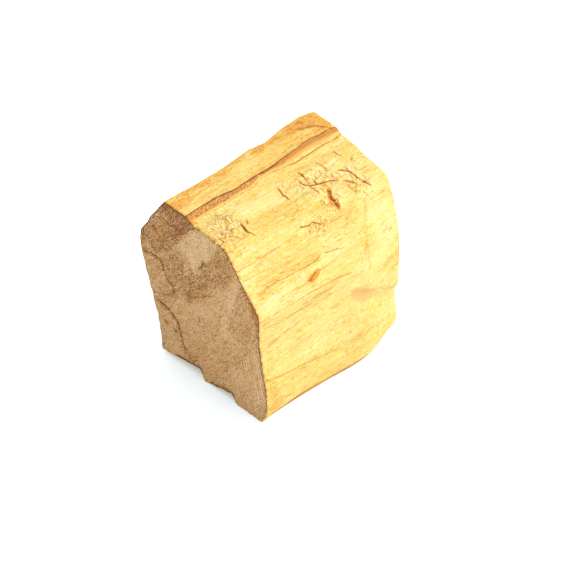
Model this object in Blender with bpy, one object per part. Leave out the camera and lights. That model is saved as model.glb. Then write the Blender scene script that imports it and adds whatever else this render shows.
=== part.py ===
"""A palo santo chunk: a short block of heartwood, sawn across the grain at both ends and split along the
grain on every other side. It grew as one piece, so it is one solid.

The grain runs along Y, the sawn end that faces -Y is the near one, and the chunk rests on Z = 0.
Lengths below are in millimetres, and the finished mesh is scaled to metres.
"""

import bmesh
import bpy
import numpy as np
from mathutils import Vector, geometry, noise

MM = 0.001
NODE = "palo_santo_chunk"

# Driving sizes
LENGTH = 45.0
NEAR, FAR = -LENGTH / 2, LENGTH / 2
TRIANGLES = 9200

# The cut across the grain, corner by corner, from the foot of the right face up and round: its X and Z at the
# near end, the Y of the crease where that corner starts to turn in, its X and Z there and at the far end, and
# its rounding
CORNERS = (
    ("foot", (17.0, 0.0), 10.5, (16.9, 0.0), (12.5, 0.0), 0.8),
    ("heel_bulge", (18.6, 4.3), 9.5, (17.5, 2.6), (12.7, 2.2), 2.0),
    ("heel_line", (17.7, 12.3), 9.0, (16.9, 6.5), (12.5, 4.9), 1.5),
    ("side_low", (16.4, 18.4), 9.0, (16.2, 18.0), (12.8, 13.0), 4.0),
    ("side_high", (15.8, 24.4), 9.0, (15.7, 24.5), (13.3, 20.6), 3.0),
    ("lower_ridge", (16.1, 29.6), 10.0, (15.2, 29.2), (12.6, 27.8), 1.2),
    ("slope", (11.4, 34.6), 12.5, (12.2, 34.6), (11.0, 34.6), 4.0),
    ("upper_ridge", (5.4, 42.3), 14.0, (7.4, 40.6), (8.6, 39.9), 1.6),
    ("flat", (0.0, 42.8), 14.0, (0.4, 42.0), (0.0, 41.8), 3.0),
    ("band_foot", (-4.6, 43.05), 14.0, (-5.0, 42.85), (-5.6, 42.9), 0.6),
    ("band_head", (-7.0, 43.8), 14.0, (-7.6, 43.8), (-7.7, 43.8), 0.3),
    ("strip_edge", (-14.0, 43.8), 12.0, (-14.2, 43.9), (-14.2, 44.0), 0.5),
    ("shoulder", (-18.0, 38.3), 10.0, (-18.8, 37.2), (-18.7, 36.4), 3.0),
    ("bulge_high", (-22.5, 30.6), 8.0, (-22.6, 28.6), (-21.2, 27.5), 2.0),
    ("bulge_low", (-21.8, 24.8), 8.0, (-22.2, 22.8), (-21.3, 21.0), 2.5),
    ("flank", (-18.75, 15.8), 8.0, (-19.6, 13.5), (-19.2, 12.0), 4.0),
    ("heel_left", (-16.2, 7.0), 8.0, (-17.3, 5.2), (-17.0, 5.0), 3.0),
    ("corner_left", (-15.8, 0.7), 0.0, (-16.1, 0.0), (-15.4, 0.0), 0.8),
    ("first_hollow", (-3.0, 2.6), 0.0, (-3.3, 2.3), (-3.6, 1.9), 0.4),
    ("second_tooth", (-1.8, 0.0), 0.0, (-2.1, 0.0), (-2.5, 0.0), 0.4),
    ("second_hollow", (7.0, 1.9), 0.0, (6.7, 2.1), (6.1, 1.7), 0.4),
    ("third_tooth", (8.4, 0.0), 0.0, (8.2, 0.0), (7.8, 0.0), 0.4),
)
NAMES = [corner[0] for corner in CORNERS]
NEAR_RIB, CREASE_RIB, FAR_RIB = (np.array([corner[i] for corner in CORNERS]) for i in (1, 3, 4))
CREASE = np.array([corner[2] for corner in CORNERS])
ROUNDING = np.array([corner[5] for corner in CORNERS])
TURN_IN = 1.4  # how gently the surface leaves its crease, as a power of the way to the far end

# Edges that waver along the grain: Y and X
WAVERS = {
    "foot": ((-22.5, 17.0), (-16.0, 16.6), (-8.0, 16.75), (0.0, 17.1), (4.5, 17.4), (7.5, 17.3), (10.5, 16.9),
             (13.5, 16.0), (16.5, 14.95), (20.0, 13.6), (22.5, 12.5)),
    "strip_edge": ((-22.5, -14.1), (-14.0, -13.7), (-5.0, -14.1), (3.5, -15.2), (7.5, -14.7), (14.0, -15.7),
                   (19.0, -15.8), (22.5, -14.8)),
    "band_head": ((-22.5, -7.0), (-5.0, -6.9), (6.0, -7.0), (11.0, -7.9), (16.0, -8.1), (22.5, -7.4)),
    "band_foot": ((-22.5, -4.6), (-12.0, -5.2), (-5.0, -5.3), (0.0, -6.2), (4.0, -6.2), (9.0, -5.7),
                  (22.5, -5.7)),
}

# The four split faces, by the corner that each starts from, and those on which Z is measured across the grain
FACES = {"foot": "right", "lower_ridge": "upper", "strip_edge": "left", "corner_left": "under"}
UPRIGHT = ("right", "left")

# Sampling before the mesh is thinned
COLUMN_STEP = 0.5
ROW_STEP = 0.4
ARC_STEPS = 4
END_STEP = 1.8

# Relief of the split faces, as outward heights: broad lumps, and the flat-topped steps of splintered grain
LUMP_HEIGHT, LUMP_ACROSS, LUMP_ALONG = 0.22, 8.0, 22.0
STEP_HEIGHT, STEP_ACROSS, STEP_ALONG, STEP_RISE = 0.16, 3.2, 34.0, 0.35
STEPS_IN_RANGE = 3.0

# Where fibres tore across the grain: face, the torn line from side to side as (across, Y), the depth of wood
# that broke away before it, and how far back from the line that hollow runs
TEARS = (
    ("upper", ((4.4, 8.4), (7.0, 7.4), (8.2, 7.6), (9.9, 7.3)), 1.1, 5.0),
    ("upper", ((2.3, -14.1), (3.8, -14.6), (5.8, -14.9)), 0.6, 3.0),
    ("upper", ((-1.6, -0.7), (0.6, -1.4), (2.7, -1.0)), 0.45, 3.0),
    ("upper", ((-2.7, 6.4), (-0.2, 6.0)), 0.4, 2.0),
    ("upper", ((-0.6, 4.0), (1.4, 5.2), (4.2, 6.0)), 0.5, 3.5),
    ("upper", ((-2.5, 11.4), (0.6, 12.0)), 0.35, 2.0),
    ("upper", ((-2.9, 16.9), (-1.0, 17.7)), 0.3, 2.0),
    ("upper", ((4.0, 15.6), (6.9, 16.0), (8.9, 17.5)), 0.45, 2.5),
    ("upper", ((-3.3, -18.4), (-1.8, -19.2)), 0.3, 1.5),
    ("upper", ((-0.4, -17.6), (1.4, -18.4)), 0.35, 1.5),
    ("left", ((22.0, -4.6), (24.6, -3.8), (27.0, -5.0)), 0.7, 6.0),
    ("left", ((8.5, 9.0), (11.5, 8.2)), 0.6, 5.0),
    ("under", ((-13.0, 6.0), (-9.6, 5.2), (-7.0, 6.3)), 0.7, 6.0),
)
TEAR_END = 0.7  # over what length across the grain a tear closes at each end
TEAR_RISE = 0.4  # how far the torn wall leans

# Where a long splinter has lifted off, leaving a step along the grain: face, the step's line as (Y, across),
# its height, and how far the lowered side takes to climb back. A negative reach lowers the side of smaller
# values.
LEDGES = (
    ("upper", ((5.6, 2.4), (8.2, 3.0), (10.2, 3.4), (12.4, 4.8)), 0.4, 2.5),
    ("upper", ((-4.6, 8.4), (-1.5, 8.9), (2.0, 9.6), (3.6, 10.6)), 0.4, 2.5),
    ("upper", ((13.2, 1.6), (15.3, 3.1), (15.9, 4.4)), 0.35, 2.0),
    ("upper", ((-20.0, 14.0), (-9.0, 13.1), (3.0, 12.6)), 0.25, 2.0),
    ("right", ((-22.6, 12.3), (-10.9, 10.3), (0.4, 7.8), (11.0, 6.4), (20.0, 4.5)), 0.35, -4.0),
    ("left", ((-18.0, 33.0), (-2.0, 31.8), (14.0, 32.4)), 0.6, -3.0),
    ("left", ((-21.0, 17.2), (-6.0, 18.6), (9.0, 17.8)), 0.5, -3.0),
    ("left", ((2.0, 10.0), (12.0, 9.2), (21.0, 9.6)), 0.45, 3.0),
)
LEDGE_RISE = 0.3
LEDGE_END = 3.0  # over what length along the grain a step fades out

# The hollow scooped low on the right face: its deepest line as (Y, Z), its depth, how fast it closes above
# and below that line, and over what length it opens
SCOOP_LINE = ((2.0, 21.0), (9.9, 17.2), (15.0, 14.3), (20.7, 10.2), (22.6, 8.8))
SCOOP_DEPTH, SCOOP_ABOVE, SCOOP_BELOW, SCOOP_OPENING = 0.8, 1.3, 3.6, 8.0

# The pin knot on the slope: its centre, radius along and across, and height
KNOT, KNOT_ALONG, KNOT_ACROSS, KNOT_HEIGHT = (14.4, -5.4, 30.9), 1.3, 0.8, 0.3

# Drying cracks in the sawn ends, as X, Z lines
NEAR_CRACKS = (
    ((-20.8, 25.8), (-18.6, 26.2), (-14.9, 26.2), (-14.7, 24.1), (-11.7, 21.5), (-11.4, 19.1)),
    ((-17.0, 14.4), (-13.3, 13.9), (-10.3, 12.1), (-9.3, 9.1), (-7.8, 4.9)),
)
FAR_CRACKS = (
    ((-16.0, 30.0), (-11.0, 27.5), (-8.5, 23.0), (-3.0, 20.5)),
    ((2.0, 12.0), (6.0, 9.5), (7.5, 5.0)),
)
CRACK_DEPTH, CRACK_HALF_WIDTH = 0.5, 0.25

# Wear where the split faces meet the sawn ends, and where the chunk stands
EDGE_WEAR, EDGE_CHIPS, CHIP_SIZE, EDGE_REACH = 0.12, 0.45, 2.4, 0.9
CALM_AT_END, CALM_REACH = 0.35, 4.0  # the share of the lumps and steps left at the sawn ends
CALM_UNDER = 0.5  # and on the underside
FLOOR_LAND = 0.2  # what lies lower than this is worn flat on the floor
END_SNAP = 0.03  # thinning may push the ends' points off their plane by less than this


def side_steps():
    """How many steps each side between two corners takes, from its length at the near end."""
    lengths = np.linalg.norm(NEAR_RIB - np.roll(NEAR_RIB, -1, axis=0), axis=1)
    return np.maximum(2, np.round(lengths / COLUMN_STEP)).astype(int)


def corners_at(y):
    """The corners' X and Z in the cut at y."""
    before = ((y - NEAR) / (CREASE - NEAR))[:, None]
    after = (np.maximum(y - CREASE, 0.0) / (FAR - CREASE))[:, None] ** TURN_IN
    corners = np.where(before < 1, NEAR_RIB + (CREASE_RIB - NEAR_RIB) * before,
                       CREASE_RIB + (FAR_RIB - CREASE_RIB) * after)
    for name, line in WAVERS.items():
        corners[NAMES.index(name), 0] = np.interp(y, *zip(*line))
    return corners


def toward(corner, other, reach):
    """The point this far along the way to the other corner, or nearly half way where they are close."""
    way = other - corner
    return corner + way * min(0.45, reach / np.linalg.norm(way))


def rounded(corners, steps):
    """The outline through the corners, each one rounded by a quadratic curve."""
    points = []
    count = len(corners)
    for i in range(count):
        here, after = corners[i], corners[(i + 1) % count]
        start = toward(here, corners[i - 1], ROUNDING[i])
        end = toward(here, after, ROUNDING[i])
        for t in np.linspace(0.0, 1.0, ARC_STEPS + 1):
            points.append((1 - t) ** 2 * start + 2 * t * (1 - t) * here + t**2 * end)
        following = toward(after, here, ROUNDING[(i + 1) % count])
        for t in np.linspace(0.0, 1.0, steps[i] + 1)[1:-1]:
            points.append(end + (following - end) * t)
    return np.array(points)


def noise_at(points, across, along, seed):
    """Smooth noise, about -1 to 1, whose features are this long across the grain and along it."""
    scale = Vector((1 / across, 1 / along, 1 / across))
    shift = Vector((seed * 17.3, seed * 5.1, seed * 9.7))
    return np.array([noise.noise(Vector(p) * scale + shift) for p in points])


def smooth_step(value, low, high):
    t = np.clip((value - low) / (high - low), 0.0, 1.0)
    return t * t * (3 - 2 * t)


def splinter_steps(points):
    """Flat-topped steps that run along the grain, from 0 down."""
    level = (noise_at(points, STEP_ACROSS, STEP_ALONG, 2) + 1) * STEPS_IN_RANGE
    rise = smooth_step(level - np.floor(level), 1 - STEP_RISE, 1.0)
    return np.floor(level) + rise - STEPS_IN_RANGE


def tear_depth(across, y, line, depth, run):
    """Depth of the hollow that a torn line leaves on its near side."""
    ends_across, ends_y = zip(*line)
    back = np.interp(across, ends_across, ends_y) - y
    closes = smooth_step(across, line[0][0] - TEAR_END, line[0][0] + TEAR_END)
    closes *= 1 - smooth_step(across, line[-1][0] - TEAR_END, line[-1][0] + TEAR_END)
    hollow = np.clip(1 - back / run, 0.0, 1.0) ** 2 * smooth_step(back, -TEAR_RISE, TEAR_RISE)
    return depth * closes * hollow


def ledge_depth(across, y, line, height, reach):
    """Depth of the side that a lifted splinter has lowered."""
    off = (across - np.interp(y, *zip(*line))) * np.sign(reach)
    lowered = smooth_step(off, -LEDGE_RISE, LEDGE_RISE) * np.exp(-np.maximum(off, 0.0) / abs(reach))
    shown = smooth_step(y, line[0][0], line[0][0] + LEDGE_END)
    shown *= 1 - smooth_step(y, line[-1][0] - LEDGE_END, line[-1][0])
    return height * lowered * shown


def scoop_depth(points):
    y, z = points[:, 1], points[:, 2]
    off = z - np.interp(y, *zip(*SCOOP_LINE))
    bowl = np.exp(-((off / np.where(off > 0, SCOOP_ABOVE, SCOOP_BELOW)) ** 2))
    return SCOOP_DEPTH * bowl * smooth_step(y, SCOOP_LINE[0][0], SCOOP_LINE[0][0] + SCOOP_OPENING)


def knot_height(points):
    offset = points - np.array(KNOT)
    along, off = offset[:, 1] / KNOT_ALONG, np.linalg.norm(offset[:, [0, 2]], axis=1) / KNOT_ACROSS
    return KNOT_HEIGHT * np.exp(-(along**2) - off**2)


def relief(points, faces):
    """Outward height of the split faces over the plain outline."""
    calm = np.where(faces == "under", CALM_UNDER, 1.0)
    from_end = FAR - np.abs(points[:, 1])
    calm *= CALM_AT_END + (1 - CALM_AT_END) * smooth_step(from_end, 0.0, CALM_REACH)
    height = LUMP_HEIGHT * noise_at(points, LUMP_ACROSS, LUMP_ALONG, 1) + STEP_HEIGHT * splinter_steps(points)
    height = height * calm + knot_height(points)
    for name in FACES.values():
        on_face = faces == name
        across = points[on_face, 2 if name in UPRIGHT else 0]
        y = points[on_face, 1]
        for face, line, depth, run in TEARS:
            if face == name:
                height[on_face] -= tear_depth(across, y, line, depth, run)
        for face, line, depth, reach in LEDGES:
            if face == name:
                height[on_face] -= ledge_depth(across, y, line, depth, reach)
    right = faces == "right"
    height[right] -= scoop_depth(points[right])
    return height


def end_wear(points, y):
    """How far the rim stands back beside a sawn end, with a bite here and there."""
    nearness = max(0.0, 1 - min(y - NEAR, FAR - y) / EDGE_REACH) ** 2
    if nearness == 0:
        return np.zeros(len(points))
    chips = np.maximum(noise_at(points, CHIP_SIZE, CHIP_SIZE, 3), 0.0)
    return (EDGE_WEAR + EDGE_CHIPS * chips) * nearness


def split_faces():
    """The split faces as rows of points, one closed outline for each station along the grain."""
    steps = side_steps()
    faces = []
    for name, count in zip(NAMES, steps):
        face = FACES.get(name, faces[-1] if faces else None)
        faces += [face] * (ARC_STEPS + count)
    faces = np.array(faces)
    rows = []
    for y in np.linspace(NEAR, FAR, round(LENGTH / ROW_STEP) + 1):
        outline = rounded(corners_at(y), steps)
        tangent = np.roll(outline, -1, axis=0) - np.roll(outline, 1, axis=0)
        outward = np.stack([tangent[:, 1], -tangent[:, 0]], axis=1)
        outward /= np.linalg.norm(outward, axis=1)[:, None]
        points = np.column_stack([outline[:, 0], np.full(len(outline), y), outline[:, 1]])
        height = relief(points, faces) - end_wear(points, y)
        points[:, [0, 2]] += outward * height[:, None]
        points[:, 2] = np.where(points[:, 2] < FLOOR_LAND, 0.0, points[:, 2])
        rows.append(points)
    return np.array(rows)


def inside(outline, x, z):
    """Whether X, Z lies within the closed outline, by counting the edges to its right."""
    a, b = outline, np.roll(outline, -1, axis=0)
    spans = (a[:, 1] > z) != (b[:, 1] > z)
    a, b = a[spans], b[spans]
    crossing = a[:, 0] + (z - a[:, 1]) * (b[:, 0] - a[:, 0]) / (b[:, 1] - a[:, 1])
    return (crossing > x).sum() % 2 == 1


def gap_to(line, closed, x, z):
    """Distance from X, Z to the line of points."""
    starts = line if closed else line[:-1]
    edges = (np.roll(line, -1, axis=0) if closed else line[1:])[: len(starts)] - starts
    offset = np.array([x, z]) - starts
    share = np.clip((offset * edges).sum(axis=1) / (edges**2).sum(axis=1), 0.0, 1.0)
    return np.linalg.norm(offset - edges * share[:, None], axis=1).min()


def groove(crack):
    """X, Z and depth of the points that fold a crack into a groove, and the edges that tie them: a bed
    between two lips, which meet at its tips."""
    line = np.array(crack)
    last = len(line) - 1
    points = [(*line[0], 0.0)]
    for i in range(1, last):
        way = line[i + 1] - line[i - 1]
        aside = np.array([-way[1], way[0]]) / np.linalg.norm(way) * CRACK_HALF_WIDTH
        points += [(*(line[i] + aside), 0.0), (*line[i], CRACK_DEPTH), (*(line[i] - aside), 0.0)]
    points.append((*line[last], 0.0))
    tip = len(points) - 1
    edges = [(0, lane) for lane in (1, 2, 3)] + [(tip - lane, tip) for lane in (1, 2, 3)]
    edges += [(i, i + 3) for i in range(1, tip - 3)]
    return points, edges


def end_points(outline, cracks):
    """X, Z and depth of the points inside a sawn end, and the edges between those of its cracks."""
    found, edges = [], []
    for crack in cracks:
        points, tied = groove(crack)
        edges += [(len(found) + a, len(found) + b) for a, b in tied]
        found += points
    low, high = outline.min(axis=0), outline.max(axis=0)
    for x in np.arange(low[0] + END_STEP / 2, high[0], END_STEP):
        for z in np.arange(low[1] + END_STEP / 2, high[1], END_STEP):
            clear = all(gap_to(np.array(crack), False, x, z) > 2 * CRACK_HALF_WIDTH for crack in cracks)
            if clear and inside(outline, x, z) and gap_to(outline, True, x, z) > END_STEP / 2:
                found.append((x, z, 0.0))
    return found, edges


def sawn_end(row, y, inward, cracks):
    """The points inside a sawn end, and its triangles, which count through the row and then those points."""
    outline = row[:, [0, 2]]
    inner, tied = end_points(outline, cracks)
    count = len(outline)
    flat = [Vector(p) for p in outline] + [Vector(p[:2]) for p in inner]
    edges = [(i, (i + 1) % count) for i in range(count)] + [(count + a, count + b) for a, b in tied]
    _, _, triangles, origin, _, _ = geometry.delaunay_2d_cdt(flat, edges, [], 1, 1e-5)
    points = [(x, y + inward * depth, z) for x, z, depth in inner]
    return points, [[origin[v][0] for v in triangle] for triangle in triangles]


def dense_mesh():
    rows = split_faces()
    count = rows.shape[1]
    vertices = [tuple(p) for p in rows.reshape(-1, 3)]
    faces = []
    for r in range(len(rows) - 1):
        for c in range(count):
            a, b = r * count + c, r * count + (c + 1) % count
            faces.append((a, b, b + count, a + count))
    for first, row, y, inward, cracks in ((0, rows[0], NEAR, 1, NEAR_CRACKS),
                                          ((len(rows) - 1) * count, rows[-1], FAR, -1, FAR_CRACKS)):
        added, triangles = sawn_end(row, y, inward, cracks)
        start = len(vertices) - count
        faces += [[first + v if v < count else start + v for v in triangle] for triangle in triangles]
        vertices += added
    mesh = bpy.data.meshes.new(NODE)
    mesh.from_pydata([Vector(v) * MM for v in vertices], [], faces)
    work = bmesh.new()
    work.from_mesh(mesh)
    bmesh.ops.triangulate(work, faces=work.faces)
    bmesh.ops.recalc_face_normals(work, faces=work.faces)
    work.to_mesh(mesh)
    work.free()
    return mesh


def thinned(chunk):
    """The chunk's mesh brought down to the wanted number of triangles."""
    fewer = chunk.modifiers.new("fewer_faces", "DECIMATE")
    fewer.ratio = TRIANGLES / len(chunk.data.polygons)
    mesh = bpy.data.meshes.new_from_object(chunk.evaluated_get(bpy.context.evaluated_depsgraph_get()))
    chunk.modifiers.remove(fewer)
    return mesh


def settle(mesh):
    """Put the middle of the footprint on the origin and the lowest points on the floor."""
    places = np.array([v.co for v in mesh.vertices])
    low, high = places.min(axis=0), places.max(axis=0)
    places -= [(low[0] + high[0]) / 2, 0.0, low[2]]
    for end in (NEAR * MM, FAR * MM):
        places[np.abs(places[:, 1] - end) < END_SNAP * MM, 1] = end
    places[places[:, 2] < END_SNAP * MM, 2] = 0.0
    for vertex, place in zip(mesh.vertices, places):
        vertex.co = place


def wood():
    material = bpy.data.materials.new("palo_santo_wood")
    material.use_nodes = True
    shader = material.node_tree.nodes["Principled BSDF"]
    shader.inputs["Base Color"].default_value = (0.64, 0.42, 0.18, 1.0)
    shader.inputs["Roughness"].default_value = 0.75
    shader.inputs["Metallic"].default_value = 0.0
    return material


def main():
    for old in list(bpy.data.objects):
        bpy.data.objects.remove(old)
    chunk = bpy.data.objects.new(NODE, dense_mesh())
    bpy.context.scene.collection.objects.link(chunk)
    chunk.data = thinned(chunk)
    settle(chunk.data)
    chunk.data.shade_smooth()
    chunk.data.set_sharp_from_angle(angle=np.radians(35.0))
    chunk.data.materials.append(wood())


main()
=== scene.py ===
"""A palo santo chunk as the photo shows it: sawn across the grain at both ends and split along it elsewhere.

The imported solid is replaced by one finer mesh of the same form, which the frame's box scales and centres.
Lengths below are in millimetres, with Y along the grain and X and Z as part.py draws them, before it centres
the chunk.
"""
import math

import bpy
import numpy as np
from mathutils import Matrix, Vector, geometry, noise


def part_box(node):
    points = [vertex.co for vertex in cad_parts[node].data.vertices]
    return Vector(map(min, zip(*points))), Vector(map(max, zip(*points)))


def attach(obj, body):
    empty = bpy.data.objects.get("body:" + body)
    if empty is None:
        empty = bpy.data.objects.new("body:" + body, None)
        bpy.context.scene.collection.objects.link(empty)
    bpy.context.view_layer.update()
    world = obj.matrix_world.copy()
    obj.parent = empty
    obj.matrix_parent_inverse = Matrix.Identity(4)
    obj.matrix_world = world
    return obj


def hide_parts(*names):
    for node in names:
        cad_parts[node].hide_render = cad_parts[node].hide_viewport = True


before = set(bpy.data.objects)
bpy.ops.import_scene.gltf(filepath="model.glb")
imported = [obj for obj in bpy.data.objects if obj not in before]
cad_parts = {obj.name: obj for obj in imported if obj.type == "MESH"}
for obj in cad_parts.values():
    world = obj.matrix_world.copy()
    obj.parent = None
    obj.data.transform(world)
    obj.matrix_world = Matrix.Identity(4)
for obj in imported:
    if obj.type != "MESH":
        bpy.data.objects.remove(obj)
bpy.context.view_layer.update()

NODE = "palo_santo_chunk"

# Driving sizes
LENGTH = 45.0
NEAR, FAR = -LENGTH / 2, LENGTH / 2
LEFTMOST = -22.48  # X of the chunk's left bulge, which lies on the left side of the frame's box
BOX_LOW, BOX_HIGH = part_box(NODE)
MM = (BOX_HIGH.y - BOX_LOW.y) / LENGTH  # one millimetre, in the units of the frame
SHIFT = BOX_LOW.x / MM - LEFTMOST  # from X as drawn to X in the frame

# The cut across the grain, corner by corner, from the foot of the right face up and round: its X and Z at the
# near end, the Y of the crease where that corner starts to turn in, its X and Z there and at the far end, and
# its rounding
CORNERS = (
    ("foot", (17.0, 0.0), 10.5, (16.9, 0.0), (12.5, 0.0), 0.8),
    ("heel_bulge", (18.6, 4.3), 9.5, (17.5, 2.6), (12.7, 2.2), 2.0),
    ("heel_line", (17.7, 12.3), 9.0, (16.9, 6.5), (12.5, 4.9), 1.5),
    ("side_low", (16.4, 18.4), 9.0, (16.2, 18.0), (12.8, 13.0), 4.0),
    ("side_high", (15.8, 24.4), 9.0, (15.7, 24.5), (13.3, 20.6), 3.0),
    ("lower_ridge", (16.1, 29.6), 10.0, (15.2, 29.2), (12.6, 27.8), 1.2),
    ("slope", (11.4, 34.6), 12.5, (12.2, 34.6), (11.0, 34.6), 4.0),
    ("upper_ridge", (5.4, 42.3), 14.0, (7.4, 40.6), (8.6, 39.9), 1.6),
    ("flat", (0.0, 42.8), 14.0, (0.4, 42.0), (0.0, 41.8), 3.0),
    ("band_foot", (-4.6, 43.05), 14.0, (-5.0, 42.85), (-5.6, 42.9), 0.6),
    ("band_head", (-7.0, 43.8), 14.0, (-7.6, 43.8), (-7.7, 43.8), 0.3),
    ("strip_edge", (-14.0, 43.8), 12.0, (-14.2, 43.9), (-14.2, 44.0), 0.5),
    ("shoulder", (-18.0, 38.3), 10.0, (-18.8, 37.2), (-18.7, 36.4), 3.0),
    ("bulge_high", (-22.5, 30.6), 8.0, (-22.6, 28.6), (-21.2, 27.5), 2.0),
    ("bulge_low", (-21.8, 24.8), 8.0, (-22.2, 22.8), (-21.3, 21.0), 2.5),
    ("flank", (-18.75, 15.8), 8.0, (-19.6, 13.5), (-19.2, 12.0), 4.0),
    ("heel_left", (-16.2, 7.0), 8.0, (-17.3, 5.2), (-17.0, 5.0), 3.0),
    ("corner_left", (-15.8, 0.7), 0.0, (-16.1, 0.0), (-15.4, 0.0), 0.8),
    ("first_hollow", (-3.0, 2.6), 0.0, (-3.3, 2.3), (-3.6, 1.9), 0.4),
    ("second_tooth", (-1.8, 0.0), 0.0, (-2.1, 0.0), (-2.5, 0.0), 0.4),
    ("second_hollow", (7.0, 1.9), 0.0, (6.7, 2.1), (6.1, 1.7), 0.4),
    ("third_tooth", (8.4, 0.0), 0.0, (8.2, 0.0), (7.8, 0.0), 0.4),
)
NAMES = [corner[0] for corner in CORNERS]
NEAR_RIB, CREASE_RIB, FAR_RIB = (np.array([corner[i] for corner in CORNERS]) for i in (1, 3, 4))
CREASE = np.array([corner[2] for corner in CORNERS])
ROUNDING = np.array([corner[5] for corner in CORNERS])
TURN_IN = 1.4  # how gently the surface leaves its crease, as a power of the way to the far end

# Edges that waver along the grain: Y and X
WAVERS = {
    "foot": ((-22.5, 17), (-16, 16.6), (-8, 16.75), (0, 17.1), (4.5, 17.4), (7.5, 17.3), (10.5, 16.9),
        (13.5, 16), (16.5, 14.95), (20, 13.6), (22.5, 12.5)),
    "strip_edge": ((-22.5, -14.1), (-14, -13.7), (-5, -14.1), (3.5, -15.2), (7.5, -14.7), (14, -15.7),
        (19, -15.8), (22.5, -14.8)),
    "band_head": ((-22.5, -7.3), (-18, -7.45), (-14, -7.45), (-11, -7.05), (-9, -6.6), (-6, -6.7),
        (-3, -6.95), (3, -7), (7.5, -7.4), (12, -8), (15.5, -8.25), (18.5, -7.7), (21, -7.8), (22.5, -7.4)),
    "band_foot": ((-22.5, -5.3), (-14, -5.4), (-11.7, -5.15), (-7.6, -5.4), (-4.8, -5.25), (-3.1, -5.7),
        (-1.3, -6.15), (2.1, -6.25), (4.4, -5.65), (22.5, -5.5)),
}

# The four split faces, by the corner that each starts from, those on which Z is measured across the grain,
# and the width of their columns of points
FACES = {"foot": "right", "lower_ridge": "upper", "strip_edge": "left", "corner_left": "under"}
UPRIGHT = ("right", "left")
COLUMN_STEP = {"right": 0.22, "upper": 0.175, "left": 0.55, "under": 0.7}
ROW_STEP = 0.27
RIM_ROWS = (0.0, 0.08, 0.2)  # distances from a sawn end of the rows that shape its rim
LEAST_ARC_STEPS = 3
NEARLY_HALF = 0.45  # the most of the way to the next corner that a rounding takes up

# Relief of the split faces, as outward heights: broad lumps, and the flat-topped steps of splintered grain
LUMP_HEIGHT, LUMP_ACROSS, LUMP_ALONG = 0.22, 8.0, 22.0
STEP_HEIGHT, STEP_ACROSS, STEP_ALONG, STEP_RISE = 0.16, 3.2, 34.0, 0.35
STEPS_IN_RANGE = 3.0

# Fine ridges: height, size across the grain, size along it and seed
RIDGES = ((0.030, 1.1, 12.0, 11), (0.016, 0.55, 6.0, 12), (0.008, 0.4, 2.2, 13))
FUZZ_HEIGHT, FUZZ_SIZE, FUZZ_LENGTH = 0.05, 0.7, 1.1  # of the torn zones

# Where fibres tore across the grain: face, the torn line from side to side as (across, Y), the depth of wood
# that broke away before it, and how far back from the line that hollow runs
TEARS = (
    ("upper", ((4.6, 8.6), (5.6, 8.2), (6.8, 7.6), (7.6, 7.7), (8.8, 7.9)), 0.6, 3.5),
    ("left", ((22.6, -4.4), (24.6, -3.8), (26.2, -4.8)), 0.4, 6),
    ("left", ((8.9, 8.8), (11, 8.2)), 0.3, 5),
    ("under", ((-13, 6), (-9.6, 5.2), (-7, 6.3)), 0.7, 6),
)
TEAR_END = 0.5  # over what length across the grain a tear closes at each end
FULL_TEAR = 0.4  # shallower ones are ragged less, close sooner and have a thinner line
TEAR_RISE = 0.2  # how far the torn wall leans
RAGGED = ((0.4, 2.0), (0.2, 0.6))  # how far the torn line strays over what width, in two sizes
RAGGED_ALONG = 6.0
LIP_HEIGHT, LIP_REACH = 0.3, 0.45  # of the curled edge past the wall, as a share of the depth and as a length
LIP_FADE = LIP_REACH / 3**0.5  # over what length it falls off
TEAR_LINE, LINE_BEFORE = 0.14, 0.08  # half the width of the dark line, and how far before the wall it lies
TEAR_UNEVEN, TEAR_UNEVEN_SIZE, THINNEST = 1.2, 0.8, 0.2  # how that width varies, and the least share of it
TEAR_HIGHLIGHT, HIGHLIGHT_PAST = 0.6, 1.125  # the painted highlight on the lit lip past the wall: its strength, and how far past
TEAR_PAINTED_SHADE, TEAR_MOST_PAINTED_SHADE = 1.6, 0.95  # how strong the painted orange shade before the wall is per depth, and at most
TEAR_SHADE = (0.4, 1.5)  # from full painted shade to none, as shares of the depth
# a warmer tone painted in the hollow before a torn wall, for the warm shade inside it
TEAR_WARM_SHADE = 0.8
TEAR_SHOWN = 0.05  # where it is less open than this it has no line
DARK_LINE, PALE_LINE = 0.9, 0.4

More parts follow.
